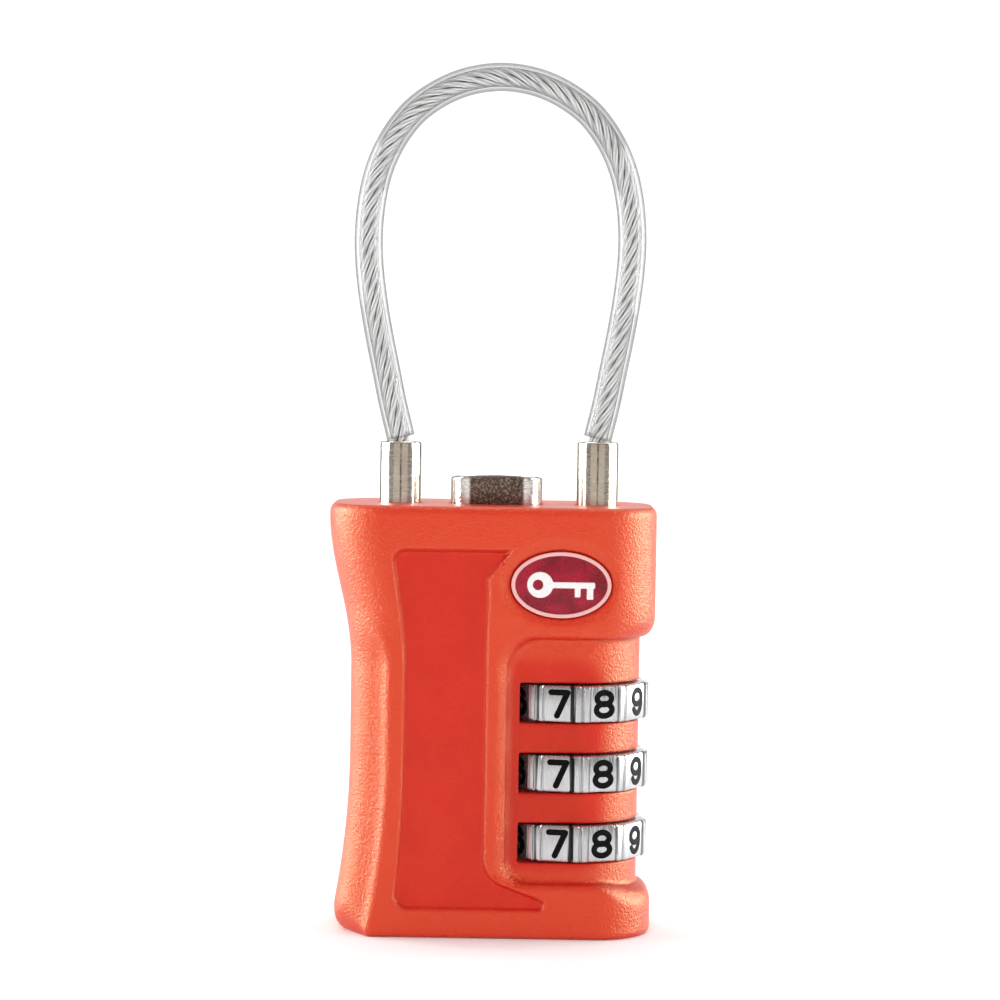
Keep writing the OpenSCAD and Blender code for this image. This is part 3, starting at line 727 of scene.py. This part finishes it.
def build_cable():
    """Wire rope of six strands round a core, each strand of seven wires, in a clear sheath."""
    line, direction, run = route(cable_points(ROPE_HALF), ROPE_STEP)
    across = np.tile((0.0, 1.0, 0.0), (len(line), 1))
    up = np.cross(direction, across)
    points, faces, crown, tone = [], [], [], []
    count = 0

    def add(centres, r, n, shade=1.0):
        nonlocal count
        rings = sweep(centres, across, up, r, n)
        tone.append(np.full(rings.shape[:2], shade).ravel())
        crown.append(np.linalg.norm(rings - line[:, None], axis=2).ravel() / ROPE_R)
        points.append(rings.reshape(-1, 3))
        faces.append(tube_faces(len(centres), n, count))
        count += len(centres) * n

    add(line, 4 * WIRE_R, 8)
    for strand in range(6):
        turn = 2 * math.pi * (strand / 6 + run / STRAND_LAY)
        out = np.cos(turn)[:, None] * across + np.sin(turn)[:, None] * up
        aside = -np.sin(turn)[:, None] * across + np.cos(turn)[:, None] * up
        middle = line + 6 * WIRE_R * out
        add(middle, WIRE_R, WIRE_SIDES)
        for wire, shade in enumerate(WIRE_TONES):
            spin = 2 * math.pi * (wire / 6 + run / WIRE_LAY)
            away = np.cos(spin)[:, None] * out + np.sin(spin)[:, None] * aside
            add(middle + 2 * WIRE_R * away, WIRE_R, WIRE_SIDES, shade)
    rope = add_mesh("steel_rope", np.concatenate(points), np.concatenate(faces), strand_steel())
    mark(rope, "crown", lambda x, y, z: np.concatenate(crown))
    mark(rope, "tone", lambda x, y, z: np.concatenate(tone))

    ends = [(ROPE_HALF[1][0], FERRULE_OUT + SHEATH_GAP)]
    centre, direction, run = route(cable_points(ends + ROPE_HALF[2:]), SHEATH_STEP)
    across = np.tile((0.0, 1.0, 0.0), (len(centre), 1))
    up = np.cross(direction, across)
    skins = [sweep(centre, across, up, r, SHEATH_SIDES).reshape(-1, 3)
             for r in (SHEATH_R, ROPE_R + BORE_ROOM)]
    total = len(skins[0])
    walls = [tube_faces(len(centre), SHEATH_SIDES),
             tube_faces(len(centre), SHEATH_SIDES, total)[:, ::-1]]
    k = np.arange(SHEATH_SIDES)
    n = (k + 1) % SHEATH_SIDES
    last = total - SHEATH_SIDES
    walls.append(np.stack([k, total + k, total + n, n], 1))
    walls.append(last + np.stack([k, n, total + n, total + k], 1))
    sheath = add_mesh("cable_sheath", np.concatenate(skins), np.concatenate(walls),
                      clear_vinyl())
    for piece, node, finish in ((rope, "wire_rope", "rope_steel"),
                                (sheath, "rope_sheath", "clear_sheath")):
        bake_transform(piece)
        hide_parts(node)


LATHE_SIDES = 96
ON_AXIS = 0.001
NECK_R, RIM_R, LIP_R = 1.4, 0.3, 0.15
CABLE_BORE_R = 0.93
BORE_FLOOR = TOP + 2.6


def lathe(name, profile, axis_x, material):
    """A turned piece about a vertical axis, from (radius, height) points."""
    profile = np.array(profile, float)
    turn = 2 * math.pi * np.arange(LATHE_SIDES) / LATHE_SIDES
    r, z = profile[:, :1], profile[:, 1:]
    points = np.stack([axis_x + r * np.cos(turn), r * np.sin(turn), z + 0 * turn], -1)
    faces = tube_faces(len(profile), LATHE_SIDES)
    return add_mesh(name, points.reshape(-1, 3), faces, material)


def bright_nickel():
    """Nickel plate with a warm cast and fine turning marks round the axis."""
    s = Shader("bright_nickel")
    rings = s.noise(1.0, 2.0, at=s.scaled((300, 300, 9000)))
    grain = s.noise(5000, 2.0)
    smear = s.noise(400, 3.0)
    base = s.mix(s.ranged(smear, 0.3, 0.7), (0.80, 0.73, 0.64), (0.70, 0.62, 0.53))
    height = s.math("ADD", s.math("MULTIPLY", rings, 0.4), s.math("MULTIPLY", grain, 0.6))
    s.set(Base_Color=base, Metallic=1.0, Roughness=s.ranged(grain, 0.3, 0.7, 0.1, 0.22),
          Normal=s.bump(height, 0.5, 0.00002))
    return s.material


def build_ferrules():
    """Both cable ends; each has a groove, a rounded top and a bore for the cable."""
    nickel = bright_nickel()
    flank = FERRULE_R - NECK_R
    grooves = {"captive": (CAPTIVE_X, 34.4, 35.0, CAPTIVE_HIGH[2], "casing"),
               "free": (FREE_X, 34.3, 36.1, FREE_HIGH[2], "free_end")}
    bottom = FREE_LOW[2]
    for name, (x, low, high, top, body) in grooves.items():
        profile = (
            [(ON_AXIS, bottom), (FERRULE_R - RIM_R, bottom), (FERRULE_R, bottom + RIM_R)]
            + [(FERRULE_R, low - flank), (NECK_R, low), (NECK_R, high), (FERRULE_R, high)]
            + arc(FERRULE_R - RIM_R, top - RIM_R, RIM_R, 0, 90)
            + arc(1.1, top - LIP_R, LIP_R, 90, 180, 4)
            + [(CABLE_BORE_R, top - 0.4), (CABLE_BORE_R, BORE_FLOOR), (ON_AXIS, BORE_FLOOR)]
        )
        piece = lathe(f"{name}_ferrule_turned", profile, x, nickel)
        crease_edges(piece, 35)
        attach(piece, body)
        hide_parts(f"{name}_ferrule")


def crease_edges(piece, angle):
    """Keeps edges sharper than angle crisp in the shading."""
    piece.data.set_sharp_from_angle(angle=math.radians(angle))


# ---------- push button ----------

BUTTON_ARCH, BUTTON_EDGE_R = 0.3, 0.32
LOBE_OUT, PEG_R, NOTCH_LEFT = 0.9, 0.9, 2.4


def button_crown(x):
    """Height of the button's top, which is slightly arched."""
    return BUTTON_TOP - BUTTON_ARCH * ((x - LOOP_X) / (BUTTON_W / 2)) ** 2


def button_field(x, y, z):
    """The button: its arched stem, the lobes that stop it, a spring peg and the latch's notch."""
    low = box_mm("push_button")[0][2]
    plan = block(x - LOOP_X, y, BUTTON_W / 2, BUTTON_D / 2, BUTTON_R)
    stem = both(plan, z - button_crown(x), BUTTON_EDGE_R)
    stem = np.maximum(stem, low + 1 - z)
    lobe = np.maximum(block(x + 0.75, y, 2.25, BUTTON_D / 2 + LOBE_OUT), slab(z, 35.65, 37.05))
    peg = np.maximum(np.hypot(x - LOOP_X, y) - PEG_R, slab(z, low, low + 2))
    whole = np.minimum(np.minimum(stem, lobe), peg)
    notch = np.maximum(np.maximum(NOTCH_LEFT - x, slab(z, 34.5, 37.7)), -1.5 - y)
    return without(whole, notch, INNER_EDGE_R)


def nickel_with_painted_reflections():
    """Satin nickel whose faces are painted dark, a painted reflection of a dark surround, and whose upright
    corners and top rim are painted bright, a painted highlight.
    """
    s = Shader("nickel_with_painted_reflections")
    corner = s.attribute("corner")
    grain = s.noise(5500, 2.0)
    brush = s.noise(1.0, 3.0, at=s.scaled((5200, 5200, 500)))
    cloud = s.noise(500, 3.0)
    # The faces' dark tone is a painted reflection of a dark surround, with random tone and bright specks.
    dark = s.mix(s.ranged(cloud, 0.3, 0.7), (0.13, 0.090, 0.072), (0.085, 0.062, 0.05))
    dark = s.mix(s.ranged(grain, 0.48, 0.66, 0, 0.75), dark, (0.42, 0.34, 0.28))
    # Painted highlight on the corners and top rim, over the painted dark reflection of the faces.
    base = s.mix(corner, dark, (0.86, 0.83, 0.79))
    rough = s.mix(corner, (0.36,) * 3, (0.14,) * 3)
    height = s.math("ADD", grain, s.math("MULTIPLY", brush, 0.5))
    s.set(Base_Color=base, Metallic=1.0, Roughness=rough, Normal=s.bump(height, 0.6, 0.00005))
    return s.material


def build_button():
    low, high = box_mm("push_button")
    grid = 0.09
    margin = 2 * grid
    axes = (steps(low[0] - margin, high[0] + margin, grid),
            steps(low[1] - margin, high[1] + margin, grid),
            np.concatenate([steps(low[2] - margin, 39.5, 2 * grid)[:-1],
                            steps(39.5, high[2] + margin, grid)]))
    piece = solid("push_button_cap", button_field, axes, nickel_with_painted_reflections(), keep=0.4)

    # Where the button is painted bright as a highlight: its upright corners and the rim of its top.
    def corner(x, y, z):
        u = np.abs(x - LOOP_X) - (BUTTON_W / 2 - BUTTON_R)
        rim = smooth((z - button_crown(x) + 0.3) / 0.16)
        return np.maximum(smooth(u / 0.22), 0.9 * rim)

    mark(piece, "corner", corner)
    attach(piece, "button")
    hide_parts("push_button")


# ---------- number dials ----------

DIGIT_STEP = 36
DIGIT_TURN = 24
FRONT_FACE = DIGIT_TURN - 90
FRONT_DIGIT = 8
FLAT_R = DIAL_R - 0.33
DIAL_BORE_R = 3.55
DIAL_CHAMFER = 0.16
OUTLINE_STEP = 0.3
RIB_FROM, RIB_TO = 12.3, 16.6
RIB_GAP_DEPTH, GUTTER_DEPTH = 0.16, 0.09


def off_face(degrees):
    """Degrees to either side of the nearest number face's middle."""
    return (degrees - FRONT_FACE + DIGIT_STEP / 2) % DIGIT_STEP - DIGIT_STEP / 2


def dial_radius(degrees):
    """Outline of a dial: flat number faces with a double rib between each two."""
    off = np.abs(off_face(degrees))
    face = FLAT_R / np.cos(np.radians(np.minimum(off, 12.5)))
    bar = smooth((off - RIB_FROM) / 0.7) * (1 - smooth((off - RIB_TO) / 0.6))
    gutter = smooth((off - 11.2) / 0.5) * (1 - smooth((off - 12.2) / 0.5))
    floor = np.where(off > 14, DIAL_R - RIB_GAP_DEPTH, face)
    return floor + (DIAL_R - floor) * bar - GUTTER_DEPTH * gutter


def groove(x, y, z):
    """Painted shade: dark lines at the feet of the ribs; those beside one number are darker and wider, a painted
    dark reflection.
    """
    degrees = np.degrees(np.arctan2(y, x - DIAL_X))
    off = off_face(degrees)
    darker_painted_band = np.abs(degrees - FRONT_FACE + DIGIT_STEP) < DIGIT_STEP / 2
    ragged = 0.35 * np.sin(7 * z + degrees) + 0.25 * np.sin(17 * z)
    left = np.abs(off + np.where(darker_painted_band, RIB_TO, 12.4)) < np.where(darker_painted_band, 1.2 + ragged, 0.35)
    right = np.abs(off - 12.2 + 1.6 * darker_painted_band) < np.where(darker_painted_band, 1.7 + ragged, 0.4)
    gap = np.abs(np.abs(off) - DIGIT_STEP / 2) < 0.45
    dark = np.maximum(np.where(darker_painted_band, 1, 0.6) * right, np.where(darker_painted_band, 0.9, 0.5) * left)
    dark = np.maximum(dark, 0.5 * gap)
    return (np.hypot(x - DIAL_X, y) > 5) * dark


def satin_chrome():
    """Chrome plate with fine upright grain on the faces, and painted shade at the feet of the ribs."""
    s = Shader("satin_chrome")
    grain = s.noise(6000, 2.0)
    brush = s.noise(1.0, 3.0, at=s.scaled((4200, 4200, 260)))
    cloud = s.noise(350, 3.0)
    base = s.mix(s.ranged(cloud, 0.3, 0.7), (0.60, 0.60, 0.61), (0.50, 0.50, 0.51))
    # Painted shade at the feet of the ribs, from the groove marks.
    base = s.mix(s.attribute("groove"), base, (0.03, 0.03, 0.03))
    height = s.math("ADD", s.math("MULTIPLY", grain, 0.5), brush)
    s.set(Base_Color=base, Metallic=0.95, Roughness=s.ranged(brush, 0.3, 0.7, 0.2, 0.36),
          Normal=s.bump(height, 0.22, 0.00002))
    return s.material


def number_paint():
    """Black enamel with a soft gloss."""
    s = Shader("number_paint")
    dust = s.noise(4000, 3.0)
    base = s.mix(s.ranged(dust, 0.4, 0.75), (0.001, 0.001, 0.001), (0.004, 0.004, 0.004))
    s.set(Base_Color=base, Roughness=s.ranged(dust, 0.3, 0.7, 0.32, 0.45),
          Specular_IOR_Level=0.08, Normal=s.bump(dust, 0.15, 0.00002))
    return s.material


def bow(u, v, half_w, half_h, start, stop):
    """Points along part of an oval, from one angle to another in degrees."""
    angles = np.radians(np.linspace(start, stop, int(abs(stop - start) / 15) + 2))
    return [(u + half_w * math.cos(a), v + half_h * math.sin(a)) for a in angles]


# Each numeral is a list of strokes in a face's plane, about its middle
SIX = [bow(0, -0.42, 0.74, 0.63, 0, 360), bow(0, 0, 0.74, 1.05, 200, 38)]
NUMERALS = {
    0: [bow(0, 0, 0.76, 1.05, 0, 360)],
    1: [[(-0.42, 0.6), (0.14, 1.05), (0.14, -1.05)]],
    2: [bow(0, 0.43, 0.7, 0.62, 160, -35) + [(-0.72, -1.05), (0.74, -1.05)]],
    3: [bow(-0.04, 0.5, 0.66, 0.55, 150, -90), bow(-0.04, -0.5, 0.76, 0.55, 90, -150)],
    4: [[(0.34, -1.05), (0.34, 1.05), (-0.76, -0.42), (0.78, -0.42)]],
    5: [[(0.62, 1.05), (-0.5, 1.05), (-0.6, 0.1)], bow(-0.04, -0.38, 0.76, 0.67, 130, -145)],
    6: SIX,
    7: [[(-0.72, 1.05), (0.74, 1.05), (-0.18, -1.05)]],
    8: [bow(0, 0.52, 0.7, 0.53, 0, 360), bow(0, -0.5, 0.76, 0.55, 0, 360)],
    9: [[(-u, -v) for u, v in stroke] for stroke in SIX],
}
STROKE_R = 0.27
PAINT_OUT = 0.05
PAINT_EDGE_R = 0.045
NUMERAL_STRETCH = (1.05, 1.03, 1)


def numeral_mesh(digit):
    """A numeral lying in a plane, as points (right, up, out) and quads."""
    grid = 0.055

    def field(u, v, w):
        nearest = np.full(np.broadcast(u, v).shape, np.inf)
        for stroke in NUMERALS[digit]:
            for start, end in zip(stroke, stroke[1:]):
                nearest = np.minimum(nearest, np.hypot(*segment_gap(u, v, start, end)))
        return both(nearest - STROKE_R, np.abs(w) - PAINT_OUT, PAINT_EDGE_R)

    axes = (steps(-1.15, 1.15, grid), steps(-1.4, 1.4, grid), steps(-0.09, 0.09, 0.03))
    points, quads = surface(field, axes)
    return points * NUMERAL_STRETCH, quads


def build_dials():
    """Each dial is one closed tube of rings; its ten numerals are a second piece on it."""
    chrome, paint = satin_chrome(), number_paint()
    degrees = np.arange(0, 360, OUTLINE_STEP)
    outline = dial_radius(degrees)
    half = DIAL_H / 2
    rise = [(0.05 * i, -DIAL_CHAMFER + 0.04 * i) for i in range(1, 4)]
    levels = ([(-half, -0.34)] + [(-half + up, inset) for up, inset in rise]
              + [(-half + 0.3, 0), (half - 0.3, 0)]
              + [(half - down, inset) for down, inset in rise[::-1]]
              + [(half, -0.34)])
    numerals = [(digit, *numeral_mesh(digit)) for digit in NUMERALS]
    for place, node in DIALS.items():
        turn = np.radians(degrees)
        rings = []
        for z, inset in [(-half, None)] + levels + [(half, None)]:
            r = np.full_like(outline, DIAL_BORE_R) if inset is None else outline + inset
            rings.append(np.stack([DIAL_X + r * np.cos(turn), r * np.sin(turn),
                                   np.full_like(r, DIAL_Z[place] + z)], -1))
        count = len(degrees)
        points = np.concatenate(rings)
        faces = tube_faces(len(rings), count, closed=True)
        piece = add_mesh(f"number_dial_{place}", points, faces, chrome)
        mark(piece, "groove", groove)
        crease_edges(piece, 40)
        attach(piece, f"dial_{place}")
        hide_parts(node)

        points, faces, first = [], [], 0
        for digit, flat, quads in numerals:
            a = math.radians(FRONT_FACE + (digit - FRONT_DIGIT) * DIGIT_STEP)
            out, right = np.array((math.cos(a), math.sin(a), 0)), (-math.sin(a), math.cos(a), 0)
            points.append((DIAL_X, 0, DIAL_Z[place]) + flat[:, :1] * right
                          + flat[:, 1:2] * np.array((0, 0, 1))
                          + (FLAT_R + flat[:, 2:]) * out)
            faces.append(quads + first)
            first += len(flat)
        piece = add_mesh(f"numerals_{place}", np.concatenate(points), np.concatenate(faces),
                         paint)
        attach(piece, f"dial_{place}")


# ---------- badge ----------

def badge_enamel():
    """Crimson enamel inside a pale rim."""
    s = Shader("badge_enamel")
    rim = s.attribute("rim")
    cloud = s.noise(500, 3.0)
    fine = s.noise(5000, 2.0)
    red = s.mix(s.ranged(cloud, 0.35, 0.7), (0.16, 0.003, 0.010), (0.30, 0.006, 0.025))
    base = s.mix(rim, red, (0.66, 0.36, 0.34))
    s.set(Base_Color=base, Roughness=s.ranged(fine, 0.3, 0.7, 0.22, 0.34),
          Specular_IOR_Level=0.3, Normal=s.bump(fine, 0.12, 0.00002))
    return s.material


def badge_white():
    """White enamel of the key symbol."""
    s = Shader("badge_white")
    fine = s.noise(4500, 2.0)
    base = s.mix(s.ranged(fine, 0.3, 0.8), (0.72, 0.70, 0.69), (0.64, 0.61, 0.60))
    s.set(Base_Color=base, Roughness=0.3, Normal=s.bump(fine, 0.12, 0.00002))
    return s.material


BADGE_RIM_W = 0.36


def badge_plate_field(x, y, z):
    """An oval plate with a raised rim round a slightly domed floor."""
    shape = badge_field(x, z)
    front = -HALF_DEPTH + 0.02
    back = BADGE_HIGH[1]
    plate = both(shape, np.maximum(front - y, y - back), 0.06)
    inner = badge_field(x, z, -BADGE_RIM_W)
    dome = -HALF_DEPTH + 0.16 + 0.1 * smooth(inner / 2.6 + 1)
    return without(plate, both(inner, y - dome, 0.03), 0.05)


def key_mark_field(x, y, z):
    """A plain key symbol, as on a service-key lock."""
    u, v = x - BADGE_X, z - BADGE_Z
    ring = without(np.hypot(u + 1.95, v) - 1.2, np.hypot(u + 2.15, v) - 0.48, 0.04)
    shank = block(u - 1.05, v, 2.05, 0.28, 0.1)
    teeth = np.minimum(block(u - 1.5, v + 0.6, 0.27, 0.5, 0.08),
                       block(u - 2.65, v + 0.7, 0.3, 0.6, 0.08))
    flat = either(either(ring, shank, 0.1), teeth, 0.06)
    return both(flat, np.abs(y + HALF_DEPTH - 0.2) - 0.13, 0.05)


def build_badge():
    grid = 0.055
    axes = (steps(BADGE_LOW[0] - 0.2, BADGE_HIGH[0] + 0.2, grid),
            steps(-HALF_DEPTH - 0.1, BADGE_HIGH[1] + 0.1, 0.045),
            steps(BADGE_LOW[2] - 0.2, BADGE_HIGH[2] + 0.2, grid))
    plate = solid("badge_enamelled", badge_plate_field, axes, badge_enamel(), keep=0.4)
    mark(plate, "rim", lambda x, y, z: smooth((badge_field(x, z) + BADGE_RIM_W) / 0.05 + 0.3))
    axes = (steps(BADGE_X - 3.3, BADGE_X + 3.4, grid), axes[1],
            steps(BADGE_Z - 1.6, BADGE_Z + 1.5, grid))
    symbol = solid("badge_key_symbol", key_mark_field, axes, badge_white(), keep=0.5)
    for piece, node, finish in ((plate, "badge_plate", "badge_crimson"),
                                (symbol, "badge_key_mark", "badge_white")):
        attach(piece, "casing")
        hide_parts(node)


# ---------- pieces that keep their CAD shape ----------

def metal(name, light, dark, rough, turned=(2000, 2000, 2000), strength=0.2):
    """Bare metal with uneven tone and tool marks that are finer along the given axes."""
    s = Shader(name)
    cloud = s.noise(300, 3.0)
    marks = s.noise(1.0, 3.0, at=s.scaled(turned))
    base = s.mix(s.ranged(cloud, 0.3, 0.7), light, dark)
    s.set(Base_Color=base, Metallic=1.0,
          Roughness=s.ranged(marks, 0.3, 0.7, rough - 0.08, rough + 0.1),
          Normal=s.bump(marks, strength, 0.00003))
    return s.material


def acetal():
    """Natural acetal, for the sleeves."""
    s = Shader("natural_acetal")
    cloud = s.noise(400, 3.0)
    base = s.mix(s.ranged(cloud, 0.3, 0.7), (0.78, 0.72, 0.58), (0.70, 0.63, 0.49))
    s.set(Base_Color=base, Roughness=0.42, Subsurface_Weight=0.1,
          Normal=s.bump(s.noise(3500, 2.0), 0.15, 0.00003))
    return s.material


def dress_cad_nodes():
    """Gives each CAD node that stays in view the material of its slot."""
    finishes = {
        "steel": metal("turned_steel", (0.62, 0.62, 0.63), (0.48, 0.48, 0.5), 0.28,
                       (600, 600, 7000)),
        "zinc": metal("die_cast_zinc", (0.60, 0.60, 0.62), (0.46, 0.47, 0.49), 0.42,
                      (3500, 3500, 3500), 0.35),
        "spring_steel": metal("spring_steel", (0.58, 0.58, 0.6), (0.36, 0.36, 0.38), 0.24),
        "brass": metal("machined_brass", (0.80, 0.60, 0.27), (0.66, 0.46, 0.18), 0.26,
                       (5000, 700, 700)),
        "reset_metal": metal("satin_reset_button", (0.66, 0.65, 0.63), (0.5, 0.49, 0.47), 0.3,
                             (700, 6000, 700)),
        "sleeve_nylon": acetal(),
        "casing_red": casing_paint(),
    }
    slots = {row["node"]: row["material_slot"] for row in frame["record"]["subparts"]}
    for name, node in frame["nodes"].items():
        if slots[name] in finishes:
            node.data.materials.clear()
            node.data.materials.append(finishes[slots[name]])


# ---------- stage and light ----------

def add_light(name, place, aim, size, power):
    """A white rectangular area light; places are in metres."""
    data = bpy.data.lights.new(name, "AREA")
    data.shape = "RECTANGLE"
    data.size, data.size_y = size
    data.energy = power
    light = bpy.data.objects.new(name, data)
    bpy.context.collection.objects.link(light)
    light.location = place
    light.rotation_euler = (Vector(aim) - Vector(place)).to_track_quat("-Z", "Y").to_euler()
    return light


def add_stage():
    """A pale paper floor that curves up into a backdrop."""
    s = Shader("studio_paper")
    shade = s.mix(s.noise(30, 2.0), (0.93, 0.93, 0.93), (0.95, 0.95, 0.95))
    s.set(Base_Color=shade, Roughness=0.9)
    half_w, near, far, bend, height = 2500, -1500, 600, 500, 2200
    run = [(near, 0), (far, 0)] + [
        (far + bend * math.sin(a), bend - bend * math.cos(a))
        for a in np.radians(np.linspace(8, 90, 12))
    ] + [(far + bend, height)]
    points = [(side * half_w, y, z) for y, z in run for side in (-1, 1)]
    faces = [(2 * i, 2 * i + 1, 2 * i + 3, 2 * i + 2) for i in range(len(run) - 1)]
    add_mesh("paper", points, faces, s.material)


CARD_H = 520


def add_flags():
    """Cards that only the metal's reflections show: black ones behind the object and the
    camera, and warm grey ones to both sides of the camera."""
    black = Shader("black_card")
    black.set(Base_Color=(0.01, 0.01, 0.01, 1), Roughness=0.9)
    grey = Shader("grey_reflector")
    grey.set(Base_Color=(0, 0, 0, 1), Emission_Color=(1, 0.93, 0.84, 1), Emission_Strength=0.5)
    cards = [((-158, 318), (-254, 248), black), ((158, 318), (254, 248), black),
             ((-30, -600), (50, -600), black),
             ((-420, -500), (-30, -620), grey), ((50, -620), (420, -500), grey)]
    for number, (start, end, look) in enumerate(cards):
        points = [(x, y, z) for x, y in (start, end) for z in (0, CARD_H)]
        card = add_mesh(f"card_{number}", points, [(0, 1, 3, 2)], look.material)
        card.visible_camera = False
        card.visible_diffuse = False
        card.visible_shadow = False


def add_lights():
    """Soft light from both sides, with separate shares for gloss and for diffuse colour."""
    world = bpy.data.worlds.new("studio")
    bpy.context.scene.world = world
    world.use_nodes = True
    world.node_tree.nodes["Background"].inputs[0].default_value = (1, 1, 1, 1)
    world.node_tree.nodes["Background"].inputs[1].default_value = 0.25
    middle = (0, 0, 0.03)
    for side, name in ((-1, "left"), (1, "right")):
        place = (side * 0.42, 0.06, 0.13)
        add_light(f"{name}_gloss", place, middle, (0.42, 0.3), 4.8).visible_diffuse = False
        add_light(f"{name}_soft", place, middle, (0.42, 0.3), 2.5).visible_glossy = False
    add_light("top_box", (0, 0.02, 0.6), middle, (0.5, 0.4), 0.6)
    fill = add_light("front_fill", (0, -0.75, 0.22), middle, (0.5, 0.3), 3.9)
    fill.visible_glossy = False
    add_light("backdrop_light", (0, 0.35, 1.0), (0, 1.0, 0.2), (1.4, 0.3), 9)
    add_flags()
    bpy.context.scene.view_settings.view_transform = "Standard"


add_camera()
build_cable()
build_shells()
build_ferrules()
build_button()
build_dials()
build_badge()
dress_cad_nodes()
add_stage()
add_lights()
